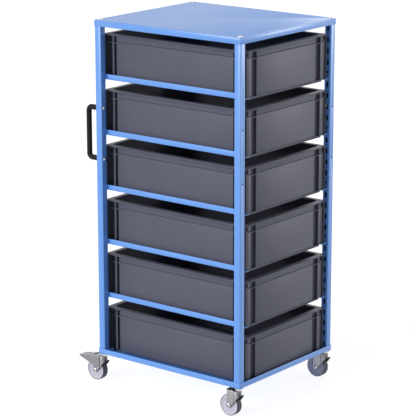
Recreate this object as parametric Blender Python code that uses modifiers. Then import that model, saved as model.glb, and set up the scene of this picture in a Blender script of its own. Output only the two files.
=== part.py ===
"""Mobile bin cart: a sheet-steel rack on four swivel casters that carries six stacking bins.

The rack is two folded trays joined by four slotted square posts. Pairs of angle rails hook
into the posts and carry five bins; the sixth stands in the base tray. Two bow handles sit on
the posts of the back end, and the two casters under that end have brake pedals.

+Z is up, +X points to the front, where the bins are drawn out, and +Y to the left.
The origin is on the floor, under the middle of the cart's outer box. All sizes are metres.
"""
import math

import bmesh
import bpy
from mathutils import Matrix, Vector

# Fits shared by every piece
GAP = 0.0003
OVERRUN = 0.003

# Trays
TRAY_SHEET = 0.0012
TRAY_CORNER = 0.0028
TOP_FLANGE = 0.014
BASE_FLANGE = 0.013

# Posts, square tube
POST_LENGTHWISE = 0.0175
POST_CROSSWISE = 0.017
POST_WALL = 0.0015
POST_CORNER = 0.002
SLOT_WIDTH = 0.006
SLOT_HEIGHT = 0.012
SLOT_PITCH = 0.026
SLOTS_PER_LEVEL = 5
NUT_BLOCK_HEIGHT = 0.009

# Tray bolts
BOLT_RADIUS = 0.003
BOLT_HEAD_RADIUS = 0.0052
BOLT_HEAD_HEIGHT = 0.0028
BOLT_LENGTH = 0.011

# Rails, folded angle
RAIL_LEVELS = 5
RAIL_SHEET = 0.0015
RAIL_WEB = 0.013
RAIL_FLANGE = 0.0212
RAIL_BEND = 0.0024
RAIL_FRONT_SETBACK = 0.005
RAIL_STOP_HEIGHT = 0.010
HOOK_RISE = 0.0055
HOOK_DROP = 0.003

# Bins
BIN_LENGTH = 0.410
BIN_WIDTH = 0.308
BIN_HEIGHT = 0.109
BIN_CORNER = 0.008
BIN_WALL = 0.0025
BIN_RIM = 0.0125
BIN_RIM_PLATE = 0.003
BIN_BAND = 0.015
BIN_BAND_STEP = 0.004
BIN_GROOVE = 0.0024
BIN_GROOVE_DEPTH = 0.0012
BIN_FOOT_HEIGHT = 0.006
BIN_FOOT_SETBACK = 0.015
BIN_FOOT_CORNER = 0.009
BIN_CHIN_STEP = 0.0005
BIN_CHIN_SLANT = 0.0022
BIN_CHIN_WALL = 0.0018
BIN_RECESS = 0.0095

# Bin ends, measured from the side of the bin inwards
END_CORNER_NOTCH = 0.0085
END_PILLAR = 0.015
END_RECESS_WIDTH = 0.0195

# Bin sides, measured from the end of the bin inwards
SIDE_CORNER_BLOCK = 0.0085
SIDE_ZONE = 0.0165
SIDE_RIB = 0.005
SIDE_GROOVE = 0.008

# Room round the bins
BIN_END_ROOM = 0.005
BIN_SIDE_ROOM = 0.026
BASE_HEADROOM = 0.0263
TOP_HEADROOM = 0.0295

# Handles
HANDLE_ROD_RADIUS = 0.006
HANDLE_CENTRES = 0.120
HANDLE_LOW = 0.471
HANDLE_REACH = 0.0285
HANDLE_BEND = 0.013
SCREW_RADIUS = 0.002
SCREW_HEAD_RADIUS = 0.0042
SCREW_HEAD_HEIGHT = 0.0022
SCREW_BITE = 0.009

# Casters
CASTER_HEIGHT = 0.069
CASTER_TRAIL = 0.022
CASTER_PLATE_RADIUS = 0.0105
CASTER_PLATE = 0.0018
RACE_RADIUS = 0.0078
KINGPIN_RADIUS = 0.0022
RIVET_RADIUS = 0.0035
RIVET_THICKNESS = 0.0016
STEM_RADIUS = 0.004
STEM_LENGTH = 0.011

# Wheels
WHEEL_RADIUS = 0.025
WHEEL_WIDTH = 0.0166
DISC_RADIUS = 0.024
DISC_FLANGE = 0.001
TYRE_THICKNESS = 0.003
TYRE_ROUND = 0.0008
HUB_RADIUS = 0.0065
DISC_DISH = 0.0016
DISC_BEAD = 0.0022

# Forks, folded sheet
FORK_SHEET = 0.0012
FORK_CLEARANCE = 0.0008
FORK_TOP = 0.008
FORK_NOSE_SETBACK = 0.0048
FORK_REAR = 0.026
FORK_EAR_RADIUS = 0.0062
FORK_SLANT = math.radians(46.5)
CROWN_REACH = 0.009
AXLE_RADIUS = 0.003
AXLE_HEAD_RADIUS = 0.0048
AXLE_HEAD_HEIGHT = 0.0022

# Guard tongues in front of the wheels
GUARD_WIDTH = 0.008
GUARD_THICKNESS = 0.0024
GUARD_LENGTH = 0.0172
GUARD_TUCK = 0.0045
GUARD_SLOPE = math.radians(55.0)

# Brake pedals
PEDAL_SHEET = 0.0015
PEDAL_REACH = 0.07075
PEDAL_TOP = 0.0062
PEDAL_TIP_DROP = 0.0084
PEDAL_TIP_HEIGHT = 0.003
PEDAL_HEEL_HEIGHT = 0.0033
PEDAL_SKIRT = 0.0218
PEDAL_HEEL_SETBACK = 0.0009
PEDAL_SKIRT_SETBACK = 0.0042
PEDAL_PIN_SETBACK = 0.018
PEDAL_PIN_DROP = 0.0125
PEDAL_PIN_RADIUS = 0.0015
PEDAL_PIN_HEAD_RADIUS = 0.0026
PEDAL_PIN_HEAD = 0.001
PEDAL_BARREL_RADIUS = 0.003
SHOE_CLEARANCE = 0.0015
SHOE_LENGTH = 0.003

# Facets
CORNER_STEPS = 2
DOME_STEPS = 2
WHEEL_STEPS = 20
TURNED_STEPS = 12
HOLE_STEPS = 8
NOSE_STEPS = 10
CROWN_STEPS = 4
ARC_STEPS = 4
ROD_RESOLUTION = 3
SMOOTH_ANGLE = math.radians(35.0)
FULL_TURN = 2 * math.pi
QUARTER_TURN = math.pi / 2
WELD = 0.00001

# Sizes of the rack that follow from the bins
TRAY_LENGTH = BIN_LENGTH + 2 * BIN_END_ROOM
TRAY_WIDTH = BIN_WIDTH + 2 * BIN_SIDE_ROOM
LEVEL_PITCH = SLOTS_PER_LEVEL * SLOT_PITCH
RAIL_LOWEST = TRAY_SHEET + BIN_HEIGHT + BASE_HEADROOM
RAIL_HIGHEST = RAIL_LOWEST + (RAIL_LEVELS - 1) * LEVEL_PITCH
RACK_HEIGHT = RAIL_HIGHEST + BIN_HEIGHT + TOP_HEADROOM

# Places that follow from the sizes
HALF_LENGTH = TRAY_LENGTH / 2
HALF_WIDTH = TRAY_WIDTH / 2
TRAY_BEND = TRAY_SHEET + GAP
POST_X = HALF_LENGTH - TRAY_SHEET - GAP - POST_LENGTHWISE / 2
POST_Y = HALF_WIDTH - TRAY_SHEET - GAP - POST_CROSSWISE / 2
POST_FOOT = TRAY_SHEET + GAP
POST_HEAD = RACK_HEIGHT - TRAY_SHEET - GAP
HOOK_SEAT = RAIL_LOWEST + HOOK_RISE
SLOTS_BELOW_HOOK = int((HOOK_SEAT - POST_FOOT - NUT_BLOCK_HEIGHT - GAP) / SLOT_PITCH)
SLOT_LOWEST = HOOK_SEAT + SLOT_HEIGHT / 2 - SLOTS_BELOW_HOOK * SLOT_PITCH
AXLE_HEIGHT = WHEEL_RADIUS - CASTER_HEIGHT
FORK_HALF_WIDTH = WHEEL_WIDTH / 2 + FORK_CLEARANCE + FORK_SHEET

# Colour, roughness and metallic value of each finish
FINISHES = {
    "blue_paint": ((0.125, 0.335, 0.800, 1.0), 0.42, 0.0),
    "grey_plastic": ((0.130, 0.130, 0.150, 1.0), 0.55, 0.0),
    "black_plastic": ((0.018, 0.018, 0.021, 1.0), 0.45, 0.0),
    "zinc_steel": ((0.520, 0.530, 0.540, 1.0), 0.36, 1.0),
    "bright_steel": ((0.720, 0.720, 0.730, 1.0), 0.25, 1.0),
    "pale_plastic": ((0.700, 0.690, 0.800, 1.0), 0.50, 0.0),
    "dark_rubber": ((0.035, 0.035, 0.043, 1.0), 0.75, 0.0),
}

CORNERS = {
    "back_right": (-1, -1),
    "front_right": (1, -1),
    "front_left": (1, 1),
    "back_left": (-1, 1),
}


def clear_scene():
    """Remove what the scene holds."""
    for item in list(bpy.data.objects):
        bpy.data.objects.remove(item, do_unlink=True)


def make_collection(name):
    """Return a new collection linked to the scene."""
    group = bpy.data.collections.new(name)
    bpy.context.scene.collection.children.link(group)
    return group


def make_finish(name):
    """Return the Principled material of a named finish."""
    colour, roughness, metallic = FINISHES[name]
    material = bpy.data.materials.get(name) or bpy.data.materials.new(name)
    material.use_nodes = True
    shader = material.node_tree.nodes["Principled BSDF"]
    shader.inputs["Base Color"].default_value = colour
    shader.inputs["Roughness"].default_value = roughness
    shader.inputs["Metallic"].default_value = metallic
    material.diffuse_color = colour
    return material


class Workshop:
    """Holds the collections and places finished pieces in them."""

    def __init__(self):
        self.parts = make_collection("mobile_bin_cart")
        self.cutters = make_collection("cutters")
        self.cart = bpy.data.objects.new("cart", None)
        self.parts.objects.link(self.cart)
        self.cart.location = (cart_shift(), 0, CASTER_HEIGHT)

    def raw(self, name, mesh):
        """Link a mesh as an object of the cutters' collection, hidden from the render."""
        item = bpy.data.objects.new(name, mesh)
        self.cutters.objects.link(item)
        item.hide_render = True
        item.display_type = "WIRE"
        return item

    def piece(self, name, mesh, finish, parent=None, location=(0, 0, 0), turn=(0, 0, 0)):
        """Place a finished mesh as a named piece under its parent."""
        if not mesh.materials:
            mesh.materials.append(make_finish(finish))
        item = bpy.data.objects.new(name, mesh)
        self.parts.objects.link(item)
        item.parent = parent or self.cart
        item.location = location
        item.rotation_euler = turn
        return item

    def axis(self, name, location, parent=None):
        """Place an empty on a joint's axis."""
        item = bpy.data.objects.new(name, None)
        self.parts.objects.link(item)
        item.parent = parent or self.cart
        item.location = location
        return item


def bake(item, smooth=False):
    """Return the mesh that an object's modifiers give, and remove the object."""
    bpy.context.view_layer.update()
    evaluated = item.evaluated_get(bpy.context.evaluated_depsgraph_get())
    mesh = bpy.data.meshes.new_from_object(evaluated)
    mesh.transform(item.matrix_world)
    weld(mesh)
    bpy.data.objects.remove(item, do_unlink=True)
    mesh.shade_flat()
    if smooth:
        mesh.shade_smooth()
        mesh.set_sharp_from_angle(angle=SMOOTH_ANGLE)
    return mesh


def weld(mesh):
    """Join the doubled points that curve caps and cuts leave."""
    work = bmesh.new()
    work.from_mesh(mesh)
    bmesh.ops.remove_doubles(work, verts=work.verts, dist=WELD)
    work.to_mesh(mesh)
    work.free()


def combine(shop, name, base, steps):
    """Cut or join meshes onto a base, in order; each step is an operation and a mesh."""
    item = shop.raw(name, base)
    tools = []
    for operation, mesh in steps:
        tool = shop.raw(name + "_tool", mesh)
        change = item.modifiers.new(operation.title(), "BOOLEAN")
        change.operation = operation
        change.solver = "EXACT"
        change.object = tool
        tools.append(tool)
    mesh = bake(item, smooth=True)
    for tool in tools:
        bpy.data.objects.remove(tool, do_unlink=True)
    return mesh


def boxes(name, spans):
    """Return one mesh of boxes, each given by its low and high corner."""
    work = bmesh.new()
    for low, high in spans:
        size = Vector(high) - Vector(low)
        middle = (Vector(high) + Vector(low)) / 2
        place = Matrix.Translation(middle) @ Matrix.Diagonal(size.to_4d())
        bmesh.ops.create_cube(work, size=1, matrix=place)
    mesh = bpy.data.meshes.new(name)
    work.to_mesh(mesh)
    work.free()
    return mesh


def rods(name, lines, radius, steps=HOLE_STEPS):
    """Return one mesh of round rods, each given by its two end points."""
    work = bmesh.new()
    for start, end in lines:
        along = Vector(end) - Vector(start)
        middle = (Vector(end) + Vector(start)) / 2
        turn = along.to_track_quat("Z", "Y").to_matrix().to_4x4()
        bmesh.ops.create_cone(
            work, cap_ends=True, segments=steps, radius1=radius, radius2=radius,
            depth=along.length, matrix=Matrix.Translation(middle) @ turn)
    mesh = bpy.data.meshes.new(name)
    work.to_mesh(mesh)
    work.free()
    return mesh


def arc(centre, radius, start, end, steps):
    """Return the points of an arc about a centre, ends included."""
    points = []
    for step in range(steps + 1):
        angle = start + (end - start) * step / steps
        points.append((centre[0] + radius * math.cos(angle), centre[1] + radius * math.sin(angle)))
    return points


def rounded(corners, steps=CORNER_STEPS):
    """Return an outline with each corner (x, y, radius) rounded off."""
    points = []
    count = len(corners)
    for index, (x, y, radius) in enumerate(corners):
        corner = Vector((x, y))
        if radius == 0:
            points.append((x, y))
            continue
        before = (Vector(corners[index - 1][:2]) - corner).normalized()
        after = (Vector(corners[(index + 1) % count][:2]) - corner).normalized()
        half = before.angle(after) / 2
        centre = corner + (before + after).normalized() * radius / math.sin(half)
        first = corner + before * radius / math.tan(half) - centre
        last = corner + after * radius / math.tan(half) - centre
        sweep = last.angle_signed(first)
        start = math.atan2(first.y, first.x)
        points.extend(arc(centre, radius, start, start + sweep, steps))
    return points


def rectangle(length, width, radius, steps=CORNER_STEPS):
    """Return the outline of a rectangle with round corners about the origin."""
    x = length / 2
    y = width / 2
    return rounded([(x, y, radius), (-x, y, radius), (-x, -y, radius), (x, -y, radius)], steps)


def plate(shop, name, outlines, low, high, turn=None):
    """Return a flat outline, or outlines with holes, given thickness from low to high.

    The outline lies in X and Y and the thickness runs along Z; turn is a matrix that then
    places it.
    """
    curve = bpy.data.curves.new(name, "CURVE")
    curve.dimensions = "2D"
    curve.fill_mode = "BOTH"
    curve.extrude = (high - low) / 2
    for outline in outlines:
        spline = curve.splines.new("POLY")
        spline.points.add(len(outline) - 1)
        for point, (x, y) in zip(spline.points, outline):
            point.co = (x, y, 0, 1)
        spline.use_cyclic_u = True
    item = shop.raw(name, curve)
    item.matrix_world = (turn or Matrix()) @ Matrix.Translation((0, 0, (low + high) / 2))
    return bake(item)


def upright(along_y=False):
    """Return the matrix that stands an outline's second axis up along Z.

    The outline's first axis stays on X and its thickness runs along Y, or with along_y the
    first axis goes to Y and the thickness runs along X.
    """
    stand = Matrix.Rotation(QUARTER_TURN, 4, "X")
    if along_y:
        stand = Matrix.Rotation(QUARTER_TURN, 4, "Z") @ stand
    return stand


def turned(shop, name, profile, steps=TURNED_STEPS, loop=False):
    """Return a solid of revolution about Z; the profile runs down its outer side."""
    mesh = bpy.data.meshes.new(name)
    points = [(radius, 0, height) for radius, height in profile]
    edges = [(index, index + 1) for index in range(len(points) - 1)]
    if loop:
        edges.append((len(points) - 1, 0))
    mesh.from_pydata(points, edges, [])
    item = shop.raw(name, mesh)
    screw = item.modifiers.new("Screw", "SCREW")
    screw.axis = "Z"
    screw.steps = steps
    screw.render_steps = steps
    screw.use_merge_vertices = True
    screw.merge_threshold = WELD
    return bake(item, smooth=True)


def dome(radius, base, height, steps=DOME_STEPS):
    """Return the profile of a domed head from its top on the axis to its rim."""
    points = []
    for step in range(steps + 1):
        angle = QUARTER_TURN * (1 - step / steps)
        points.append((radius * math.cos(angle), base + height * math.sin(angle)))
    points[0] = (0, base + height)
    return points


def tray_mesh(shop, name, flange, upturned, hole_radius):
    """Return a tray folded from one sheet, its flange down or up, with a hole at each post."""
    work = bmesh.new()
    size = Matrix.Diagonal((TRAY_LENGTH, TRAY_WIDTH, flange, 1))
    bmesh.ops.create_cube(work, size=1, matrix=Matrix.Translation((0, 0, -flange / 2)) @ size)
    lid = [face for face in work.faces if face.normal.z < -1 / 2]
    bmesh.ops.delete(work, geom=lid, context="FACES_ONLY")
    uprights = [edge for edge in work.edges if abs(edge.verts[0].co.z - edge.verts[1].co.z) > flange / 2]
    bmesh.ops.bevel(work, geom=uprights, offset=TRAY_CORNER, segments=CORNER_STEPS,
                    profile=1 / 2, affect="EDGES")
    folds = [edge for edge in work.edges
             if all(vert.co.z > -flange / 2 for vert in edge.verts) and not edge.is_boundary]
    bmesh.ops.bevel(work, geom=folds, offset=TRAY_BEND, segments=CORNER_STEPS,
                    profile=1 / 2, affect="EDGES")
    mesh = bpy.data.meshes.new(name)
    work.to_mesh(mesh)
    work.free()
    item = shop.raw(name, mesh)
    shell = item.modifiers.new("Sheet", "SOLIDIFY")
    shell.thickness = TRAY_SHEET
    shell.offset = -1
    shell.use_even_offset = True
    if upturned:
        item.rotation_euler = (math.pi, 0, 0)
    sheet = bake(item)
    lines = []
    for side_x, side_y in CORNERS.values():
        x = side_x * POST_X
        y = side_y * POST_Y
        lines.append(((x, y, -OVERRUN), (x, y, OVERRUN)))
    holes = rods(name + "_holes", lines, hole_radius)
    return combine(shop, name, sheet, [("DIFFERENCE", holes)])


def make_trays(shop):
    """Place the top tray, flange down, and the base tray, flange up."""
    top = tray_mesh(shop, "top_tray", TOP_FLANGE, False, BOLT_RADIUS + GAP)
    shop.piece("top_tray", top, "blue_paint", location=(0, 0, RACK_HEIGHT))
    base = tray_mesh(shop, "base_tray", BASE_FLANGE, True, STEM_RADIUS + GAP)
    shop.piece("base_tray", base, "blue_paint")


def slot_count():
    """Return how many slots fit between the trays' flanges."""
    room = RACK_HEIGHT - TOP_FLANGE - SLOT_HEIGHT / 2 - SLOT_LOWEST
    return int(room / SLOT_PITCH) + 1


def post_ends():
    """Return the height and bore radius of the two threaded blocks welded into a post."""
    return [(POST_FOOT, STEM_RADIUS + GAP), (POST_HEAD - NUT_BLOCK_HEIGHT, BOLT_RADIUS + GAP)]


def post_mesh(shop):
    """Return a post: a slotted square tube with a threaded block welded into each end."""
    outer = rectangle(POST_LENGTHWISE, POST_CROSSWISE, POST_CORNER)
    inner = rectangle(POST_LENGTHWISE - 2 * POST_WALL, POST_CROSSWISE - 2 * POST_WALL,
                      POST_CORNER - POST_WALL, 1)
    tube = plate(shop, "post", [outer, inner], POST_FOOT, POST_HEAD)
    slots = []
    for index in range(slot_count()):
        z = SLOT_LOWEST + index * SLOT_PITCH
        low = (-SLOT_WIDTH / 2, POST_CROSSWISE / 2 - POST_WALL - GAP, z - SLOT_HEIGHT / 2)
        high = (SLOT_WIDTH / 2, POST_CROSSWISE / 2 + OVERRUN, z + SLOT_HEIGHT / 2)
        slots.append((low, high))
    holes = []
    for z in (HANDLE_LOW, HANDLE_LOW + HANDLE_CENTRES):
        reach = POST_LENGTHWISE / 2 + OVERRUN
        holes.append(((-reach, 0, z), (reach, 0, z)))
    half_x = (POST_LENGTHWISE - POST_WALL) / 2
    half_y = (POST_CROSSWISE - POST_WALL) / 2
    blocks = [((-half_x, -half_y, low), (half_x, half_y, low + NUT_BLOCK_HEIGHT))
              for low, radius in post_ends()]
    steps = [("UNION", boxes("nut_blocks", blocks)),
             ("DIFFERENCE", boxes("slots", slots)),
             ("DIFFERENCE", rods("screw_holes", holes, SCREW_RADIUS + GAP))]
    for low, radius in post_ends():
        bore = [((0, 0, low - OVERRUN), (0, 0, low + NUT_BLOCK_HEIGHT + OVERRUN))]
        steps.append(("DIFFERENCE", rods("thread_bore", bore, radius)))
    return combine(shop, "post", tube, steps)


def make_posts(shop):
    """Place four posts; each turns its slotted wall to the bins."""
    mesh = post_mesh(shop)
    for corner, (side_x, side_y) in CORNERS.items():
        turn = math.pi if side_y > 0 else 0
        shop.piece("post_" + corner, mesh, "blue_paint",
                   location=(side_x * POST_X, side_y * POST_Y, 0), turn=(0, 0, turn))


def make_tray_bolts(shop):
    """Place the bolts that hold the top tray to the posts."""
    seat = GAP
    profile = dome(BOLT_HEAD_RADIUS, seat, BOLT_HEAD_HEIGHT)
    profile += [(BOLT_RADIUS, seat), (BOLT_RADIUS, seat - BOLT_LENGTH), (0, seat - BOLT_LENGTH)]
    mesh = turned(shop, "tray_bolt", profile)
    for corner, (side_x, side_y) in CORNERS.items():
        shop.piece("tray_bolt_" + corner, mesh, "bright_steel",
                   location=(side_x * POST_X, side_y * POST_Y, RACK_HEIGHT))


def rail_mesh(shop, side):
    """Return the angle rail of one side, its flange bottom at z = 0, with hooks and end stop."""
    web_face = POST_Y - POST_CROSSWISE / 2 - GAP
    lip = web_face - RAIL_FLANGE
    inner_bend = RAIL_BEND - RAIL_SHEET
    section = rounded([
        (lip, 0, 0),
        (web_face, 0, RAIL_BEND),
        (web_face, RAIL_WEB, 0),
        (web_face - RAIL_SHEET, RAIL_WEB, 0),
        (web_face - RAIL_SHEET, RAIL_SHEET, inner_bend),
        (lip, RAIL_SHEET, 0)])
    stop_face = -BIN_LENGTH / 2 + BIN_BAND_STEP - GAP
    back = -BIN_LENGTH / 2 - GAP - RAIL_SHEET / 2
    front = HALF_LENGTH - RAIL_FRONT_SETBACK
    angle = plate(shop, "rail", [section], back, front, upright(along_y=True))
    low = (stop_face - RAIL_SHEET, lip + GAP, RAIL_SHEET / 2)
    high = (stop_face, web_face - 2 * RAIL_BEND, RAIL_STOP_HEIGHT)
    stop = boxes("stop", [(low, high)])
    wall = web_face + GAP + POST_WALL
    catch = wall + GAP + RAIL_SHEET
    seat = HOOK_RISE + GAP
    root = web_face - RAIL_SHEET / 2
    hook = [(root, seat), (wall + GAP, seat), (wall + GAP, seat - HOOK_DROP),
            (catch, seat - HOOK_DROP), (catch, seat + RAIL_SHEET), (root, seat + RAIL_SHEET)]
    steps = [("UNION", stop)]
    half = SLOT_WIDTH / 2 - GAP
    for x in (-POST_X, POST_X):
        steps.append(("UNION", plate(shop, "hook", [hook], x - half, x + half, upright(along_y=True))))
    mesh = combine(shop, "rail", angle, steps)
    if side < 0:
        mesh.transform(Matrix.Diagonal((1, -1, 1, 1)))
        mesh.flip_normals()
    return mesh


def make_rails(shop):
    """Hang five pairs of rails in the posts' slots."""
    for name, side in (("left", 1), ("right", -1)):
        mesh = rail_mesh(shop, side)
        for level in range(RAIL_LEVELS):
            height = RAIL_LOWEST + (RAIL_LEVELS - 1 - level) * LEVEL_PITCH
            shop.piece("rail_%d_%s" % (level + 1, name), mesh, "blue_paint", location=(0, 0, height))


def end_bands():
    """Return the recessed stretches of a bin's end, as distances from the bin's middle line."""
    half = BIN_WIDTH / 2
    notch = half - END_CORNER_NOTCH
    recess = notch - END_PILLAR
    return [(notch, half + OVERRUN), (recess - END_RECESS_WIDTH, recess)]


def side_bands():
    """Return the recessed stretches of a bin's side, as distances from the bin's middle line."""
    half = BIN_LENGTH / 2
    zone = half - SIDE_CORNER_BLOCK
    rib = zone - SIDE_ZONE
    groove = rib - SIDE_RIB
    return [(rib, zone), (groove - SIDE_GROOVE, groove)]


def bin_mesh(shop):
    """Return a bin, its foot at z = 0: a tub with a skirt that hangs from a flat rim."""
    length = BIN_LENGTH
    width = BIN_WIDTH
    band_low = BIN_HEIGHT - BIN_BAND
    outside = rectangle(length + 2 * OVERRUN, width + 2 * OVERRUN, 0)
    block = plate(shop, "bin", [rectangle(length, width, BIN_CORNER)], 0, BIN_HEIGHT)
    foot = rectangle(length, width - 2 * BIN_FOOT_SETBACK, 0)
    foot_ring = plate(shop, "foot_ring", [outside, foot], -OVERRUN, BIN_FOOT_HEIGHT)
    skirt = rectangle(length - 2 * BIN_BAND_STEP, width - 2 * BIN_BAND_STEP, BIN_CORNER)
    skirt_ring = plate(shop, "skirt_ring", [outside, skirt], -OVERRUN, band_low)
    cut = BIN_BAND_STEP + BIN_GROOVE_DEPTH
    groove = rectangle(length - 2 * cut, width - 2 * cut, BIN_CORNER)
    groove_ring = plate(shop, "groove_ring", [outside, groove], band_low - BIN_GROOVE, band_low - GAP)
    low = BIN_FOOT_HEIGHT
    high = BIN_HEIGHT - BIN_RIM_PLATE
    ends = []
    sides = []
    for side in (-1, 1):
        for face in (-1, 1):
            for near, far in end_bands():
                deep = length / 2 - BIN_RECESS
                out = length / 2 + OVERRUN
                ends.append(span(face * deep, face * out, side * near, side * far, low, high))
            for near, far in side_bands():
                deep = width / 2 - BIN_RECESS
                out = width / 2 + OVERRUN
                sides.append(span(side * near, side * far, face * deep, face * out,
                                  low - GAP, high - GAP))
    floor = BIN_FOOT_HEIGHT + BIN_WALL
    mouth = rectangle(length - 2 * BIN_RIM, width - 2 * BIN_RIM, BIN_FOOT_CORNER)
    cavity = plate(shop, "cavity", [mouth], floor, BIN_HEIGHT + OVERRUN)
    inset = BIN_FOOT_SETBACK + BIN_WALL
    well = rectangle(length - 2 * inset, width - 2 * inset, BIN_FOOT_CORNER - BIN_WALL)
    hollow = plate(shop, "foot_hollow", [well], BIN_WALL, floor + OVERRUN)
    steps = [("DIFFERENCE", foot_ring), ("DIFFERENCE", skirt_ring), ("DIFFERENCE", groove_ring),
             ("DIFFERENCE", boxes("end_recesses", ends)),
             ("DIFFERENCE", boxes("side_recesses", sides)), ("DIFFERENCE", cavity),
             ("DIFFERENCE", hollow), ("DIFFERENCE", boxes("pockets", skirt_pockets()))]
    for face in (-1, 1):
        steps.append(("DIFFERENCE", chin_cut(shop, face)))
        steps.append(("DIFFERENCE", boxes("chin_pocket", [chin_pocket(face)])))
    return combine(shop, "bin", block, steps)


def chin_cut(shop, face):
    """Return the wedge that slants the lowest strip of a bin's end inwards."""
    out = BIN_LENGTH / 2 + OVERRUN
    top = BIN_LENGTH / 2 - BIN_BAND_STEP - BIN_CHIN_STEP
    low = top - BIN_CHIN_SLANT
    wedge = [(face * out, -OVERRUN), (face * low, -OVERRUN), (face * low, 0),
             (face * top, BIN_FOOT_HEIGHT), (face * out, BIN_FOOT_HEIGHT)]
    return plate(shop, "chin", [wedge], -BIN_WIDTH, BIN_WIDTH, upright())


def chin_pocket(face):
    """Return the hollow behind the lowest strip of a bin's end, open at the bottom."""
    near = face * (BIN_LENGTH / 2 - BIN_RIM + BIN_WALL)
    chin = BIN_LENGTH / 2 - BIN_BAND_STEP - BIN_CHIN_STEP - BIN_CHIN_SLANT
    far = face * (chin - BIN_CHIN_WALL)
    reach = end_bands()[1][0] - BIN_WALL - GAP
    return span(near, far, -reach, reach, -OVERRUN, BIN_FOOT_HEIGHT + OVERRUN)


def span(x1, x2, y1, y2, z1, z2):
    """Return the low and high corner of a box whose limits may be given either way round."""
    low = (min(x1, x2), min(y1, y2), z1)
    high = (max(x1, x2), max(y1, y2), z2)
    return low, high


def skirt_pockets():
    """Return the hollows between the bin's skirt and its tub."""
    low = BIN_FOOT_HEIGHT - GAP
    high = BIN_HEIGHT - BIN_RIM_PLATE
    skirt = BIN_BAND_STEP + BIN_GROOVE_DEPTH + BIN_WALL / 2
    tub = BIN_RIM - BIN_WALL
    reach_x = side_bands()[1][0] - BIN_WALL
    reach_y = end_bands()[1][0] - BIN_WALL
    pockets = []
    for side in (-1, 1):
        near_x = side * (BIN_LENGTH / 2 - tub)
        far_x = side * (BIN_LENGTH / 2 - skirt)
        near_y = side * (BIN_WIDTH / 2 - tub)
        far_y = side * (BIN_WIDTH / 2 - skirt)
        pockets.append(span(near_x, far_x, -reach_y, reach_y, low, high))
        pockets.append(span(-reach_x, reach_x, near_y, far_y, low, high))
    return pockets


def make_bins(shop):
    """Stand five bins on the rails and one in the base tray."""
    mesh = bin_mesh(shop)
    for level in range(RAIL_LEVELS):
        flange_top = RAIL_LOWEST + (RAIL_LEVELS - 1 - level) * LEVEL_PITCH + RAIL_SHEET
        foot = flange_top + GAP - BIN_FOOT_HEIGHT
        shop.piece("bin_%d" % (level + 1), mesh, "grey_plastic", location=(0, 0, foot))
    shop.piece("bin_%d" % (RAIL_LEVELS + 1), mesh, "grey_plastic", location=(0, 0, TRAY_SHEET + GAP))


def handle_mesh(shop):
    """Return the bow handle: a bent rod whose two legs meet the post's outer wall."""
    leg = POST_LENGTHWISE / 2 + GAP
    grip = POST_LENGTHWISE / 2 + HANDLE_REACH
    low = HANDLE_LOW
    high = HANDLE_LOW + HANDLE_CENTRES
    bend = HANDLE_BEND
    path = [(-leg, high)]
    path += arc((bend - grip, high - bend), bend, QUARTER_TURN, math.pi, ARC_STEPS)
    path += arc((bend - grip, low + bend), bend, math.pi, math.pi + QUARTER_TURN, ARC_STEPS)
    path += [(-leg, low)]
    curve = bpy.data.curves.new("handle", "CURVE")
    curve.dimensions = "3D"
    curve.bevel_depth = HANDLE_ROD_RADIUS
    curve.bevel_resolution = ROD_RESOLUTION
    curve.use_fill_caps = True
    spline = curve.splines.new("POLY")
    spline.points.add(len(path) - 1)
    for point, (x, z) in zip(spline.points, path):
        point.co = (x, 0, z, 1)
    rod = bake(shop.raw("handle", curve))
    bores = [((-leg + OVERRUN, 0, z), (-leg - SCREW_BITE - GAP, 0, z)) for z in (low, high)]
    holes = rods("handle_bores", bores, SCREW_RADIUS + GAP)
    return combine(shop, "handle", rod, [("DIFFERENCE", holes)])


def make_handles(shop):
    """Screw a bow handle to each post of the back end, from inside the rack."""
    mesh = handle_mesh(shop)
    seat = POST_LENGTHWISE / 2 + GAP
    tip = -seat - SCREW_BITE
    profile = dome(SCREW_HEAD_RADIUS, seat, SCREW_HEAD_HEIGHT)
    profile += [(SCREW_RADIUS, seat), (SCREW_RADIUS, tip), (0, tip)]
    screw = turned(shop, "screw", profile, HOLE_STEPS)
    heights = {"lower": HANDLE_LOW, "upper": HANDLE_LOW + HANDLE_CENTRES}
    for name, side in (("right", -1), ("left", 1)):
        place = (-POST_X, side * POST_Y, 0)
        shop.piece("handle_" + name, mesh, "black_plastic", location=place)
        for end, height in heights.items():
            shop.piece("handle_screw_%s_%s" % (name, end), screw, "bright_steel",
                       location=(-POST_X, side * POST_Y, height), turn=(0, QUARTER_TURN, 0))


def caster_head_mesh(shop):
    """Return the fixed head: threaded stem, plate, ball race and the kingpin with its rivet."""
    race_low = GAP - FORK_TOP
    crown_low = -FORK_TOP - GAP - FORK_SHEET - GAP
    rivet_low = crown_low - RIVET_THICKNESS
    plate_low = -GAP - CASTER_PLATE
    profile = [
        (0, STEM_LENGTH), (STEM_RADIUS, STEM_LENGTH), (STEM_RADIUS, -GAP),
        (CASTER_PLATE_RADIUS, -GAP), (CASTER_PLATE_RADIUS, plate_low),
        (RACE_RADIUS, plate_low), (RACE_RADIUS, race_low + CASTER_PLATE),
        (RACE_RADIUS - CASTER_PLATE, race_low), (KINGPIN_RADIUS, race_low),
        (KINGPIN_RADIUS, crown_low), (RIVET_RADIUS, crown_low), (RIVET_RADIUS, rivet_low), (0, rivet_low)]
    return turned(shop, "caster_head", profile)


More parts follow.
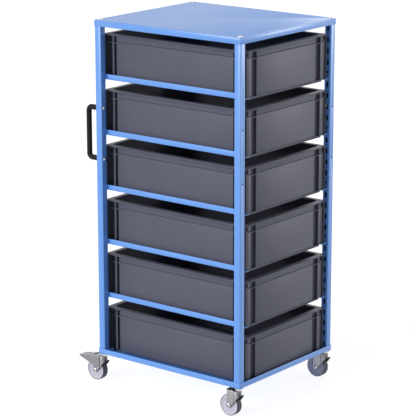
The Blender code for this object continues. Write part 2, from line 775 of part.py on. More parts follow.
def fork_side():
    """Return the fork's side outline in X and Z, from the nose's top back round the axle."""
    nose = FORK_HALF_WIDTH - FORK_NOSE_SETBACK + OVERRUN
    axle = (-CASTER_TRAIL, AXLE_HEIGHT)
    outline = [(nose, -FORK_TOP), (-FORK_REAR, -FORK_TOP)]
    ear = arc(axle, FORK_EAR_RADIUS, math.pi, FULL_TURN - QUARTER_TURN + FORK_SLANT, ARC_STEPS)
    outline += ear
    last_x, last_z = ear[-1]
    outline.append((nose, last_z + (nose - last_x) * math.tan(FORK_SLANT)))
    return outline


def fork_nose_bottom():
    """Return the height of the nose's lower edge at its foremost point."""
    return fork_side()[-1][1] - OVERRUN * math.tan(FORK_SLANT)


def fork_mesh(shop, braked):
    """Return a fork: a sheet bent round the wheel, its crown on the kingpin, its ears on the axle."""
    outer = FORK_HALF_WIDTH
    inner = outer - FORK_SHEET
    centre = (-FORK_NOSE_SETBACK, 0)
    rear = -FORK_REAR - 2 * FORK_EAR_RADIUS
    bend = [(rear, -outer)]
    bend += arc(centre, outer, -QUARTER_TURN, QUARTER_TURN, NOSE_STEPS)
    bend += [(rear, outer), (rear, inner)]
    bend += arc(centre, inner, QUARTER_TURN, -QUARTER_TURN, NOSE_STEPS)
    bend += [(rear, -inner)]
    wall = plate(shop, "fork", [bend], -CASTER_HEIGHT, -FORK_TOP + OVERRUN)
    side = plate(shop, "fork_side", [fork_side()], -outer - OVERRUN, outer + OVERRUN, upright())
    mid = (inner + outer) / 2
    crown_line = [(-CROWN_REACH, -mid)]
    crown_line += arc(centre, mid, -QUARTER_TURN, QUARTER_TURN, CROWN_STEPS)
    crown_line += [(-CROWN_REACH, mid)]
    crown_top = -FORK_TOP - GAP
    crown = plate(shop, "crown", [crown_line], crown_top - FORK_SHEET, crown_top)
    reach = outer + OVERRUN
    bore = [((0, 0, crown_top - FORK_SHEET - OVERRUN), (0, 0, crown_top + OVERRUN))]
    axle = [((-CASTER_TRAIL, -reach, AXLE_HEIGHT), (-CASTER_TRAIL, reach, AXLE_HEIGHT))]
    steps = [("INTERSECT", side), ("UNION", crown),
             ("DIFFERENCE", rods("kingpin_bore", bore, KINGPIN_RADIUS + GAP)),
             ("DIFFERENCE", rods("axle_bore", axle, AXLE_RADIUS + GAP))]
    if braked:
        x = -PEDAL_PIN_SETBACK
        z = -PEDAL_PIN_DROP
        pin = rods("pin_bore", [((x, -reach, z), (x, reach, z))], PEDAL_PIN_RADIUS + GAP)
        steps.append(("DIFFERENCE", pin))
    return combine(shop, "fork", wall, steps)


def headed_pin_mesh(shop, name, radius, head_radius, head_height, steps=TURNED_STEPS):
    """Return a rivet across the fork, with a domed head outside each ear."""
    seat = FORK_HALF_WIDTH + GAP
    upper = dome(head_radius, seat, head_height)
    lower = [(x, -z) for x, z in reversed(upper)]
    profile = upper + [(radius, seat), (radius, -seat)] + lower
    return turned(shop, name, profile, steps)


def guard_outline():
    """Return the side outline, in X and Z, of the tongue under the fork's nose."""
    along = Vector((math.cos(GUARD_SLOPE), math.sin(GUARD_SLOPE)))
    down = Vector((along.y, -along.x))
    corner = Vector((FORK_HALF_WIDTH - FORK_NOSE_SETBACK, fork_nose_bottom()))
    start = corner + down * GAP - along * GUARD_TUCK
    end = start + along * GUARD_LENGTH
    tip = GUARD_THICKNESS / 3
    depth = down * GUARD_THICKNESS
    return rounded([(*start, 0), (*(start + depth), tip), (*(end + depth), tip), (*end, tip)])


def guard_mesh(shop):
    """Return the black tongue that reaches out and up from under the fork's nose."""
    return plate(shop, "guard", [guard_outline()], -GUARD_WIDTH / 2, GUARD_WIDTH / 2, upright())


def cart_shift():
    """Return how far the rack's middle lies ahead of the middle of the cart's outer box."""
    front = POST_X + max(x for x, z in guard_outline())
    back = POST_X + PEDAL_REACH
    return (back - front) / 2


def disc_mesh(shop):
    """Return the wheel's disc with its hub, dish and the groove that holds the tyre."""
    face = WHEEL_WIDTH / 2
    seat = WHEEL_RADIUS - TYRE_THICKNESS - GAP
    bead = DISC_RADIUS - DISC_BEAD
    side = [(AXLE_RADIUS + GAP, face), (HUB_RADIUS, face), (HUB_RADIUS + DISC_DISH, face - DISC_DISH),
            (bead, face - DISC_DISH), (DISC_RADIUS, face), (DISC_RADIUS, face - DISC_FLANGE),
            (seat, face - DISC_FLANGE)]
    profile = side + [(radius, -height) for radius, height in reversed(side)]
    return turned(shop, "disc", profile, WHEEL_STEPS, loop=True)


def tyre_mesh(shop):
    """Return the tyre: a band that sits between the disc's flanges."""
    face = WHEEL_WIDTH / 2 - DISC_FLANGE - GAP
    inner = WHEEL_RADIUS - TYRE_THICKNESS
    profile = [(inner, face), (WHEEL_RADIUS - TYRE_ROUND, face), (WHEEL_RADIUS, face - TYRE_ROUND),
               (WHEEL_RADIUS, TYRE_ROUND - face), (WHEEL_RADIUS - TYRE_ROUND, -face), (inner, -face)]
    return turned(shop, "tyre", profile, WHEEL_STEPS, loop=True)


def pedal_mesh(shop):
    """Return a brake pedal: a channel with a tongue that reaches the pin and a brake shoe."""
    heel = -FORK_REAR - PEDAL_HEEL_SETBACK
    tip = -PEDAL_REACH
    top = -PEDAL_TOP
    tip_top = top - PEDAL_TIP_DROP
    skirt = (-FORK_REAR - PEDAL_SKIRT_SETBACK, top - PEDAL_SKIRT)
    round_tip = PEDAL_TIP_HEIGHT / 3
    wedge = rounded([(heel, top, 0), (tip, tip_top, round_tip),
                     (tip, tip_top - PEDAL_TIP_HEIGHT, round_tip),
                     (*skirt, 0), (heel, top - PEDAL_HEEL_HEIGHT, 0)])
    outer = FORK_HALF_WIDTH
    channel = plate(shop, "pedal", [wedge], -outer, outer, upright())
    under = top - PEDAL_SHEET
    slope = PEDAL_TIP_DROP / (heel - tip)
    back = tip + PEDAL_SHEET
    hollow = [(heel + OVERRUN, under + OVERRUN * slope), (back, tip_top - PEDAL_SHEET + PEDAL_SHEET * slope),
              (back, -CASTER_HEIGHT), (heel + OVERRUN, -CASTER_HEIGHT)]
    inner = outer - PEDAL_SHEET
    cavity = plate(shop, "pedal_hollow", [hollow], -inner, inner, upright())
    pin = (-PEDAL_PIN_SETBACK, -PEDAL_PIN_DROP)
    barrel = arc(pin, PEDAL_BARREL_RADIUS, QUARTER_TURN, QUARTER_TURN - math.pi, ARC_STEPS)
    wheel_top = AXLE_HEIGHT + WHEEL_RADIUS
    shoe_back = heel + OVERRUN
    shoe_front = shoe_back + SHOE_LENGTH
    shoe_low = wheel_top + SHOE_CLEARANCE
    root = pin[1] - PEDAL_BARREL_RADIUS
    inlet = heel - OVERRUN
    inlet_top = top - OVERRUN * slope - PEDAL_SHEET / 3
    inlet_under = inlet_top - PEDAL_SHEET / 3
    tongue = [(inlet, inlet_top), *barrel, (shoe_front, root), (shoe_front, shoe_low),
              (shoe_back, shoe_low), (shoe_back, pin[1]), (inlet, inlet_under)]
    width = WHEEL_WIDTH / 2 - GAP
    arm = plate(shop, "pedal_arm", [tongue], -width, width, upright())
    bore = [((pin[0], -outer, pin[1]), (pin[0], outer, pin[1]))]
    holes = rods("pedal_bore", bore, PEDAL_PIN_RADIUS + GAP)
    steps = [("DIFFERENCE", cavity), ("UNION", arm), ("DIFFERENCE", holes)]
    mesh = combine(shop, "pedal", channel, steps)
    mesh.transform(Matrix.Translation((-pin[0], 0, -pin[1])))
    return mesh


def make_casters(shop):
    """Bolt a swivel caster under each post; the back pair has brake pedals."""
    head = caster_head_mesh(shop)
    forks = {braked: fork_mesh(shop, braked) for braked in (False, True)}
    axle = headed_pin_mesh(shop, "axle", AXLE_RADIUS, AXLE_HEAD_RADIUS, AXLE_HEAD_HEIGHT)
    pin = headed_pin_mesh(shop, "pedal_pin", PEDAL_PIN_RADIUS, PEDAL_PIN_HEAD_RADIUS,
                          PEDAL_PIN_HEAD, HOLE_STEPS)
    guard = guard_mesh(shop)
    disc = disc_mesh(shop)
    tyre = tyre_mesh(shop)
    pedal = pedal_mesh(shop)
    across = (QUARTER_TURN, 0, 0)
    for corner, (side_x, side_y) in CORNERS.items():
        braked = side_x < 0
        place = (side_x * POST_X, side_y * POST_Y, 0)
        shop.piece("caster_head_" + corner, head, "bright_steel", location=place)
        swivel = shop.axis("swivel_" + corner, place)
        shop.piece("fork_" + corner, forks[braked], "zinc_steel", parent=swivel)
        shop.piece("guard_" + corner, guard, "black_plastic", parent=swivel)
        centre = (-CASTER_TRAIL, 0, AXLE_HEIGHT)
        shop.piece("axle_" + corner, axle, "bright_steel", parent=swivel, location=centre, turn=across)
        hub = shop.axis("wheel_" + corner, centre, swivel)
        shop.piece("disc_" + corner, disc, "pale_plastic", parent=hub, turn=across)
        shop.piece("tyre_" + corner, tyre, "dark_rubber", parent=hub, turn=across)
        if braked:
            place = (-PEDAL_PIN_SETBACK, 0, -PEDAL_PIN_DROP)
            shop.piece("pedal_" + corner, pedal, "zinc_steel", parent=swivel, location=place)
            shop.piece("pedal_pin_" + corner, pin, "bright_steel", parent=swivel,
                       location=place, turn=across)


def main():
    """Build the cart."""
    clear_scene()
    shop = Workshop()
    make_trays(shop)
    make_posts(shop)
    make_tray_bolts(shop)
    make_rails(shop)
    make_bins(shop)
    make_handles(shop)
    make_casters(shop)


main()
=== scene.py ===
"""Looks of the mobile bin cart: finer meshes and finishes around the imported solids.

A light blue sheet-steel rack on four swivel casters carries six dark grey stacking bins.
Every shape here is in metres, in the same frame as the solids: +Z up, +X to the front, where
the bins are drawn out, and +Y to the left.
"""
from __future__ import annotations

import logging
import math
from dataclasses import dataclass
from enum import Enum
from typing import Callable, Sequence

import bmesh
import bpy
from mathutils import Matrix, Vector

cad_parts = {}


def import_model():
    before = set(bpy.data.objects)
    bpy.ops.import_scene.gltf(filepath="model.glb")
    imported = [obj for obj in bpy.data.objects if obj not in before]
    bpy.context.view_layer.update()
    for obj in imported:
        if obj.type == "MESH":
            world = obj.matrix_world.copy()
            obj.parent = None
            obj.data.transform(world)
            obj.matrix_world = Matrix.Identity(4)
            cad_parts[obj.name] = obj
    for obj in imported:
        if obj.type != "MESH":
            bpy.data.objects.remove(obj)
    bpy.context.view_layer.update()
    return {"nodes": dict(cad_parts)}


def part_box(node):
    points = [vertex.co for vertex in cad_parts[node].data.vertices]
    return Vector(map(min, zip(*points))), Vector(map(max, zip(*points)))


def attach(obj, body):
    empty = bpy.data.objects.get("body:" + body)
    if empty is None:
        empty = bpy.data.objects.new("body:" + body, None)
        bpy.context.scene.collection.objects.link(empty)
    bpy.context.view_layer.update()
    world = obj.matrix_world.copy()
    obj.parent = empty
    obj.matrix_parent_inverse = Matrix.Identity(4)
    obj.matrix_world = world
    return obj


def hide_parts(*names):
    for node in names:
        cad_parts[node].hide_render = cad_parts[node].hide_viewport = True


LOG = logging.getLogger("bin_cart")
# Name of the face attribute that holds painted shade: how far each face's colour goes towards its
# finish's shade colour.
PAINTED_SHADE = "painted_shade"
MERGE = 0.000002
FLAT = math.radians(0.4)
SHARP = math.radians(30)
FULL_TURN = 2 * math.pi
QUARTER = math.pi / 2
ACROSS = Matrix.Rotation(QUARTER, 4, "X")
# Least share of a normal along an axis: on a face turned towards it, and on one square to it.
TOWARDS = 0.5
SQUARE = 0.9

Colour = tuple[float, float, float]
Point = tuple[float, float, float]
Pair = tuple[float, float]
Outline = tuple[Pair, ...]


class Corner(Enum):
    """The rack's four corners, as the nodes spell them."""

    BACK_RIGHT = "back_right"
    FRONT_RIGHT = "front_right"
    FRONT_LEFT = "front_left"
    BACK_LEFT = "back_left"

    @property
    def braked(self) -> bool:
        """Whether the caster under this corner has a brake pedal."""
        return self in (Corner.BACK_RIGHT, Corner.BACK_LEFT)


class Slot(Enum):
    """Material slots of the record."""

    PAINT = "blue_paint"
    BIN = "grey_plastic"
    BLACK = "black_plastic"
    ZINC = "zinc_steel"
    BRIGHT = "bright_steel"
    DISC = "pale_plastic"
    RUBBER = "dark_rubber"


class Wire:
    """A shader socket that takes part in sums."""

    def __init__(self, graph: Graph, socket: bpy.types.NodeSocket) -> None:
        """Hold a socket of a node tree."""
        self.graph = graph
        self.socket = socket

    def __add__(self, other: Wire | float) -> Wire:
        """Return this value plus another."""
        return self.graph.maths("ADD", self, other)

    __radd__ = __add__

    def __mul__(self, other: Wire | float) -> Wire:
        """Return this value times another."""
        return self.graph.maths("MULTIPLY", self, other)

    __rmul__ = __mul__


class Graph:
    """A node tree in the making."""

    def __init__(self, tree: bpy.types.NodeTree) -> None:
        """Hold the tree."""
        self.tree = tree

    def node(self, kind: str, settings: dict | None = None,
             inputs: dict | None = None) -> bpy.types.Node:
        """Add a node.

        Args:
            kind: Type of the node.
            settings: Values of its own properties.
            inputs: Values or wires of its sockets, by name or number.

        Returns:
            The new node.
        """
        node = self.tree.nodes.new(kind)
        for key, value in (settings or {}).items():
            setattr(node, key, value)
        for key, value in (inputs or {}).items():
            self.feed(node.inputs[key], value)
        return node

    def feed(self, socket: bpy.types.NodeSocket, value: Wire | float | tuple) -> None:
        """Set a socket to a value, or link a wire to it."""
        if isinstance(value, Wire):
            self.tree.links.new(value.socket, socket)
        else:
            socket.default_value = value

    def out(self, output: str | int, kind: str, settings: dict | None = None,
            inputs: dict | None = None) -> Wire:
        """Add a node and return one of its outputs; the rest is as for node."""
        return Wire(self, self.node(kind, settings, inputs).outputs[output])

    def maths(self, operation: str, first: Wire | float, second: Wire | float) -> Wire:
        """Return a Math node's result for two values."""
        return self.out(0, "ShaderNodeMath", {"operation": operation}, {0: first, 1: second})

    def rays(self, *kinds: str) -> Wire:
        """Return 1 for light paths of these kinds and 0 for all others."""
        path = self.node("ShaderNodeLightPath")
        total, *others = [Wire(self, path.outputs[kind]) for kind in kinds]
        for other in others:
            total = self.maths("MAXIMUM", total, other)
        return total


class Recipe(Graph):
    """The node tree of one material."""

    def __init__(self, name: str) -> None:
        """Start a material that has its shader and output only."""
        self.material = bpy.data.materials.new(name)
        self.material.use_nodes = True
        super().__init__(self.material.node_tree)

    def place(self, scale: Point = (1.0, 1.0, 1.0)) -> Wire:
        """Return the object coordinates, stretched by a scale for each axis."""
        source = self.out("Object", "ShaderNodeTexCoord")
        return self.out("Vector", "ShaderNodeMapping", None, {"Vector": source, "Scale": scale})

    def painted_shade(self) -> Wire:
        """Return the painted shade noted on the surface's faces, from 0 to 1."""
        return self.out("Fac", "ShaderNodeAttribute", {"attribute_name": PAINTED_SHADE})

    def noise(self, place: Wire, scale: float, detail: float, roughness: float = 0.5) -> Wire:
        """Return the factor of a noise texture at a place."""
        return self.out("Fac", "ShaderNodeTexNoise", None, {
            "Vector": place, "Scale": scale, "Detail": detail, "Roughness": roughness})

    def cells(self, place: Wire, scale: float) -> Wire:
        """Return the distance of a cell texture at a place."""
        return self.out("Distance", "ShaderNodeTexVoronoi", None,
                        {"Vector": place, "Scale": scale})

    def ramp(self, value: Wire, start: float, end: float) -> Wire:
        """Return 0 where a value is below a start, 1 above an end, and a blend between."""
        node = self.node("ShaderNodeValToRGB", None, {"Fac": value})
        for stop, place in zip(node.color_ramp.elements, (start, end)):
            stop.position = place
        return Wire(self, node.outputs["Color"])

    def blend(self, factor: Wire | float, first: Colour | Wire, second: Colour | Wire) -> Wire:
        """Return a mix of two colours."""
        values = [value if isinstance(value, Wire) else (*value, 1.0)
                  for value in (first, second)]
        return self.out(2, "ShaderNodeMix", {"data_type": "RGBA"},
                        {0: factor, 6: values[0], 7: values[1]})

    def bump(self, place: Wire, scale: float, height: float, strength: float,
             detail: float = 2.0, roughness: float = 0.6) -> Wire:
        """Return a normal bent by noise of a height in metres."""
        grain = self.noise(place, scale, detail, roughness)
        return self.out("Normal", "ShaderNodeBump", None, {
            "Height": grain, "Distance": height, "Strength": strength})

    def dress(self, **inputs: Wire | float | tuple) -> bpy.types.Material:
        """Feed the shader's sockets, named with underscores, and return the material."""
        shader = self.tree.nodes["Principled BSDF"]
        for key, value in inputs.items():
            self.feed(shader.inputs[key.replace("_", " ")], value)
        return self.material


@dataclass(frozen=True)
class PowderCoat:
    """Baked powder paint with a faint orange peel and light rubbing."""

    slot: Slot = Slot.PAINT
    colour: Colour = (0.126, 0.350, 0.880)
    deep: Colour = (0.112, 0.324, 0.840)
    rubbed: Colour = (0.30, 0.50, 0.92)
    # Painted shade colour: where faces carry painted shade (the posts' insides, the rails' hook
    # ends), the paint goes towards it.
    dark: Colour = (0.010, 0.014, 0.030)

    def material(self, recipe: Recipe) -> bpy.types.Material:
        """Return the paint."""
        place = recipe.place()
        cloud = recipe.noise(place, scale=9.0, detail=3.0)
        rub = recipe.noise(recipe.place((6.0, 6.0, 1.0)), scale=30.0, detail=5.0, roughness=0.7)
        rub = recipe.ramp(rub, 0.60, 0.80)
        painted_shade = recipe.painted_shade()
        colour = recipe.blend(cloud, self.deep, self.colour)
        colour = recipe.blend(rub * 0.10, colour, self.rubbed)
        # Painted shade: the colour goes most of the way to the shade colour, and rougher, by the
        # painted shade on the faces.
        return recipe.dress(
            Base_Color=recipe.blend(painted_shade * 0.95, colour, self.dark),
            Roughness=0.29 + 0.10 * cloud + 0.05 * rub + 0.40 * painted_shade,
            Normal=recipe.bump(place, scale=700.0, height=0.00006, strength=0.5,
                               roughness=0.55),
            IOR=1.8)


@dataclass(frozen=True)
class BinMoulding:
    """Dark grey polypropylene with a fine grain and faint flow marks."""

    slot: Slot = Slot.BIN
    colour: Colour = (0.088, 0.092, 0.129)
    light: Colour = (0.102, 0.106, 0.144)
    scuffed: Colour = (0.24, 0.24, 0.27)
    # Painted shade colour for the bins' recesses, groove, lower strip and corner blocks.
    dark: Colour = (0.008, 0.008, 0.014)

    def material(self, recipe: Recipe) -> bpy.types.Material:
        """Return the bins' plastic."""
        flow = recipe.noise(recipe.place((3.0, 3.0, 1.0)), scale=6.0, detail=3.0)
        scuff = recipe.noise(recipe.place((1.0, 1.0, 9.0)), scale=40.0, detail=6.0,
                             roughness=0.75)
        scuff = recipe.ramp(scuff, 0.62, 0.82)
        painted_shade = recipe.painted_shade()
        colour = recipe.blend(flow, self.colour, self.light)
        colour = recipe.blend(scuff * 0.12, colour, self.scuffed)
        # Painted shade: the colour goes towards the shade colour, and rougher, by the painted
        # shade on the faces.
        return recipe.dress(
            Base_Color=recipe.blend(painted_shade * 0.93, colour, self.dark),
            Roughness=0.40 + 0.10 * flow + 0.08 * scuff + 0.38 * painted_shade,
            Normal=recipe.bump(recipe.place(), scale=1500.0, height=0.00007, strength=0.6),
            Specular_IOR_Level=0.28,
            IOR=1.49)


@dataclass(frozen=True)
class BlackMoulding:
    """Black nylon with a satin grain."""

    slot: Slot = Slot.BLACK
    colour: Colour = (0.008, 0.008, 0.010)
    light: Colour = (0.013, 0.013, 0.016)

    def material(self, recipe: Recipe) -> bpy.types.Material:
        """Return the black plastic."""
        place = recipe.place()
        cloud = recipe.noise(place, scale=60.0, detail=3.0)
        return recipe.dress(
            Base_Color=recipe.blend(cloud, self.colour, self.light),
            Roughness=0.46 + 0.14 * cloud,
            Normal=recipe.bump(place, scale=1800.0, height=0.00006, strength=0.6),
            Specular_IOR_Level=0.22,
            IOR=1.4)


@dataclass(frozen=True)
class PlatedSteel:
    """Zinc-plated steel: pressed sheet, or smooth and bright turned pieces."""

    slot: Slot
    colour: Colour
    shade: Colour
    gloss: float
    # Painted shade colour for the fork's fold, edges, nose and sides, the pedal's sides and the
    # axle heads' recesses.
    dark: Colour = (0.035, 0.035, 0.040)

    def material(self, recipe: Recipe) -> bpy.types.Material:
        """Return the plating."""
        place = recipe.place()
        cloud = recipe.noise(place, scale=90.0, detail=4.0, roughness=0.6)
        spangle = recipe.cells(place, scale=420.0)
        painted_shade = recipe.painted_shade()
        colour = recipe.blend(cloud * 0.7 + spangle * 0.3, self.shade, self.colour)
        # Painted shade: the colour goes towards the shade colour, and rougher, by the painted
        # shade on the faces.
        return recipe.dress(
            Base_Color=recipe.blend(painted_shade, colour, self.dark),
            Metallic=1.0,
            Roughness=self.gloss + 0.12 * cloud + 0.2 * painted_shade,
            Normal=recipe.bump(recipe.place((1.0, 1.0, 14.0)), scale=260.0, height=0.00004,
                               strength=0.5, detail=3.0))


@dataclass(frozen=True)
class DiscMoulding:
    """Pale lilac-grey polypropylene of the wheel discs."""

    slot: Slot = Slot.DISC
    colour: Colour = (0.78, 0.77, 0.88)
    shade: Colour = (0.62, 0.61, 0.73)
    # Painted shade colour for the rings and ribs of the disc.
    dark: Colour = (0.20, 0.20, 0.25)

    def material(self, recipe: Recipe) -> bpy.types.Material:
        """Return the discs' plastic."""
        place = recipe.place()
        cloud = recipe.noise(place, scale=120.0, detail=3.0)
        colour = recipe.blend(cloud, self.shade, self.colour)
        # Painted shade: the colour goes towards the shade colour by the painted shade on the
        # faces.
        return recipe.dress(
            Base_Color=recipe.blend(recipe.painted_shade(), colour, self.dark),
            Roughness=0.42 + 0.12 * cloud,
            Normal=recipe.bump(place, scale=1600.0, height=0.00005, strength=0.5),
            IOR=1.5)


@dataclass(frozen=True)
class TreadRubber:
    """Dark slate rubber of the treads, a little dusty."""

    slot: Slot = Slot.RUBBER
    colour: Colour = (0.072, 0.073, 0.092)
    dusty: Colour = (0.125, 0.127, 0.150)

    def material(self, recipe: Recipe) -> bpy.types.Material:
        """Return the rubber."""
        place = recipe.place()
        dust = recipe.noise(place, scale=150.0, detail=5.0, roughness=0.65)
        return recipe.dress(
            Base_Color=recipe.blend(dust, self.colour, self.dusty),
            Roughness=0.62 + 0.20 * dust,
            Normal=recipe.bump(place, scale=1400.0, height=0.0001, strength=0.7, detail=3.0))


class Paintshop:
    """Makes each finish once and hands it out by slot."""

    FINISHES = (
        PowderCoat(), BinMoulding(), BlackMoulding(), DiscMoulding(), TreadRubber(),
        PlatedSteel(Slot.ZINC, (0.42, 0.42, 0.44), (0.33, 0.33, 0.35), 0.30),
        PlatedSteel(Slot.BRIGHT, (0.74, 0.74, 0.75), (0.60, 0.60, 0.61), 0.16))

    def __init__(self) -> None:
        """Make every finish."""
        self.materials = {finish.slot: finish.material(Recipe(finish.slot.value + "_finish"))
                          for finish in self.FINISHES}

    def coat(self, piece: bpy.types.Object, slot: Slot) -> None:
        """Give a piece the finish of a slot, in place of what it has."""
        piece.data.materials.clear()
        piece.data.materials.append(self.materials[slot])


class Shape:
    """A mesh under construction, in the frame's metres."""

    def __init__(self) -> None:
        """Start with nothing."""
        self.mesh = bmesh.new()

    @classmethod
    def spun(cls, profile: Sequence[Pair], steps: int, closed: bool = False) -> Shape:
        """Return a solid of revolution about Z.

        Args:
            profile: Radius and height of each point.
            steps: Facets round the axis.
            closed: Whether the last point joins the first.

        Returns:
            The shape, faces outwards.
        """
        shape = cls()
        mesh = shape.mesh
        verts = [mesh.verts.new((radius, 0, height)) for radius, height in profile]
        pairs = list(zip(verts, verts[1:]))
        if closed:
            pairs.append((verts[-1], verts[0]))
        edges = [mesh.edges.new(pair) for pair in pairs]
        bmesh.ops.spin(mesh, geom=verts + edges, cent=(0, 0, 0), axis=(0, 0, 1),
                       dvec=(0, 0, 0), angle=FULL_TURN, steps=steps, use_merge=True,
                       use_duplicate=False)
        return shape.merge().outward()

    @classmethod
    def block(cls, low: Point, high: Point, soft: float = 0.0) -> Shape:
        """Return a block between two corners, its edges rounded by soft."""
        shape = cls()
        size = Vector(high) - Vector(low)
        centre = (Vector(high) + Vector(low)) / 2
        place = Matrix.Translation(centre) @ Matrix.Diagonal(size.to_4d())
        bmesh.ops.create_cube(shape.mesh, size=1, matrix=place)
        return shape.soften(soft) if soft else shape

    @classmethod
    def plate(cls, outline: Outline, near: float, far: float) -> Shape:
        """Return a flat plate with an outline in X and Z, between two places along Y."""
        shape = cls()
        face = shape.mesh.faces.new([shape.mesh.verts.new((x, near, z)) for x, z in outline])
        grown = bmesh.ops.extrude_face_region(shape.mesh, geom=[face])["geom"]
        moved = [item for item in grown if isinstance(item, bmesh.types.BMVert)]
        bmesh.ops.translate(shape.mesh, vec=(0, far - near, 0), verts=moved)
        return shape.outward()

    def merge(self) -> Shape:
        """Join the points that coincide."""
        bmesh.ops.remove_doubles(self.mesh, verts=self.mesh.verts, dist=MERGE)
        return self

    def outward(self) -> Shape:
        """Turn all faces outwards."""
        bmesh.ops.recalc_face_normals(self.mesh, faces=self.mesh.faces)
        return self

    def close(self) -> Shape:
        """Fill every open end."""
        rims = [edge for edge in self.mesh.edges if edge.is_boundary]
        bmesh.ops.holes_fill(self.mesh, edges=rims)
        return self

    def soften(self, width: float, segments: int = 2, above: float = -math.inf) -> Shape:
        """Round the sharp edges that lie above a height."""
        sharp = [edge for edge in self.mesh.edges
                 if len(edge.link_faces) == 2 and edge.calc_face_angle(0) > SHARP
                 and min(vert.co.z for vert in edge.verts) > above]
        bmesh.ops.bevel(self.mesh, geom=sharp, offset=width, offset_type="OFFSET",
                        segments=segments, profile=0.5, affect="EDGES", clamp_overlap=True,
                        material=-1)
        return self

    def move(self, matrix: Matrix) -> Shape:
        """Place the shape by a matrix."""
        bmesh.ops.transform(self.mesh, matrix=matrix, verts=self.mesh.verts)
        return self

    def add(self, other: Shape) -> Shape:
        """Take in another shape and close that one."""
        spare = bpy.data.meshes.new("spare")
        other.mesh.to_mesh(spare)
        other.mesh.free()
        self.mesh.from_mesh(spare)
        bpy.data.meshes.remove(spare)
        return self

    def cut(self, place: Point, facing: Point, clear: bool = False) -> Shape:
        """Cut the faces along a plane, and clear what lies beyond it where asked."""
        mesh = self.mesh
        bmesh.ops.bisect_plane(mesh, geom=mesh.verts[:] + mesh.edges[:] + mesh.faces[:],
                               dist=MERGE, plane_co=place, plane_no=facing, clear_outer=clear)
        return self

    def trim(self, place: Point, facing: Point) -> Shape:
        """Cut off all that lies beyond a plane, and close the cut."""
        return self.cut(place, facing, True).close()

    def shade(self, painted_shade_at: Callable[[Vector, Vector], float]) -> Shape:
        """Note on each face how much painted shade it takes, from its middle and its normal."""
        layer = self.mesh.faces.layers.float.new(PAINTED_SHADE)
        self.mesh.normal_update()
        for face in self.mesh.faces:
            face[layer] = painted_shade_at(face.calc_center_median(), face.normal)
        return self


class Rod:
    """A round bar drawn in the X-Z plane from a starting ring."""

    def __init__(self, start: Point, heading: Point, radius: float, segments: int = 24) -> None:
        """Place the first ring.

        Args:
            start: Centre of the bar's first end.
            heading: Direction in which the bar sets out.
            radius: Radius of the bar.
            segments: Facets round the bar.
        """
        self.shape = Shape()
        turn = Vector(heading).to_track_quat("Z", "Y").to_matrix().to_4x4()
        ring = bmesh.ops.create_circle(self.shape.mesh, segments=segments, radius=radius,
                                       matrix=Matrix.Translation(start) @ turn)
        self.edges = list({edge for vert in ring["verts"] for edge in vert.link_edges})

    def straight(self, step: Point) -> Rod:
        """Draw the bar straight on by a vector."""
        return self.draw((0, 0, 0), step, 0, 1)

    def bend(self, centre: Point) -> Rod:
        """Draw the bar round a centre by a quarter turn."""
        return self.draw(centre, (0, 0, 0), QUARTER, 8)

    def draw(self, centre: Point, step: Point, angle: float, steps: int) -> Rod:
        """Draw the bar on in steps, each a turn about a centre and a move."""
        drawn = bmesh.ops.spin(self.shape.mesh, geom=self.edges, cent=centre, axis=(0, -1, 0),
                               dvec=step, angle=angle, steps=steps, use_merge=False,
                               use_duplicate=False)
        self.edges = [item for item in drawn["geom_last"]
                      if isinstance(item, bmesh.types.BMEdge)]
        return self

    def finished(self) -> Shape:
        """Close both ends and return the bar."""
        return self.shape.merge().close().outward()


def shown(name: str, data: bpy.types.ID | None) -> bpy.types.Object:
    """Return a new object of the scene for a mesh, light or camera."""
    thing = bpy.data.objects.new(name, data)
    bpy.context.scene.collection.objects.link(thing)
    return thing


@dataclass
class Workshop:
    """Turns shapes into finished pieces and keeps count of them."""

    nodes: dict
    paint: Paintshop
    count: int = 0

    def copy(self, node: str) -> Shape:
        """Return a merged copy of a node's mesh with its flat faces made whole."""
        shape = Shape()
        shape.mesh.from_mesh(self.nodes[node].data)
        shape.merge()
        bmesh.ops.dissolve_limit(shape.mesh, angle_limit=FLAT, verts=shape.mesh.verts,
                                 edges=shape.mesh.edges)
        return shape

    def finish(self, shape: Shape, node: str, ending: str, slot: Slot, body: str = "rack",
               extra: bool = False, smooth: float = 32.0) -> None:
        """Make a shape a piece of the scene.

        Args:
            shape: What the piece looks like.
            node: Node that it stands for or belongs to.
            ending: What its name adds to the node's.
            slot: Finish that it takes.
            body: Body that it moves with.
            extra: Whether the node stays beside it.
            smooth: Angle in degrees above which an edge stays sharp.
        """
        name = "%s_%s" % (node, ending)
        mesh = bpy.data.meshes.new(name)
        shape.mesh.to_mesh(mesh)
        shape.mesh.free()
        mesh.shade_smooth()
        mesh.set_sharp_from_angle(angle=math.radians(smooth))
        piece = shown(name, mesh)
        self.paint.coat(piece, slot)
        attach(piece, body)
        if not extra:
            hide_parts(node)
        self.count += 1
        LOG.info("%s: %d faces on %s", name, len(mesh.polygons), body)


def middle(node: str) -> Vector:
    """Return the middle of a node's box."""
    low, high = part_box(node)
    return (low + high) / 2


def half_width(node: str) -> float:
    """Return half of a node's size along Y."""
    low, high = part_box(node)
    return (high.y - low.y) / 2


def raised(outline: Outline, height: float) -> list[Pair]:
    """Return an outline whose heights are counted from a height."""
    return [(radius, height + rise) for radius, rise in outline]


def mirrored(half: Sequence[Pair]) -> list[Pair]:
    """Return a profile's upper half with its mirror image after it."""
    return [*half, *((radius, -height) for radius, height in reversed(half))]


def dome(radius: float, base: float, height: float, steps: int = 6) -> list[Pair]:
    """Return the profile of a domed head, from its rim up to near the axis."""
    angles = [QUARTER * step / steps for step in range(steps)]
    return [(radius * math.cos(angle), base + height * math.sin(angle)) for angle in angles]


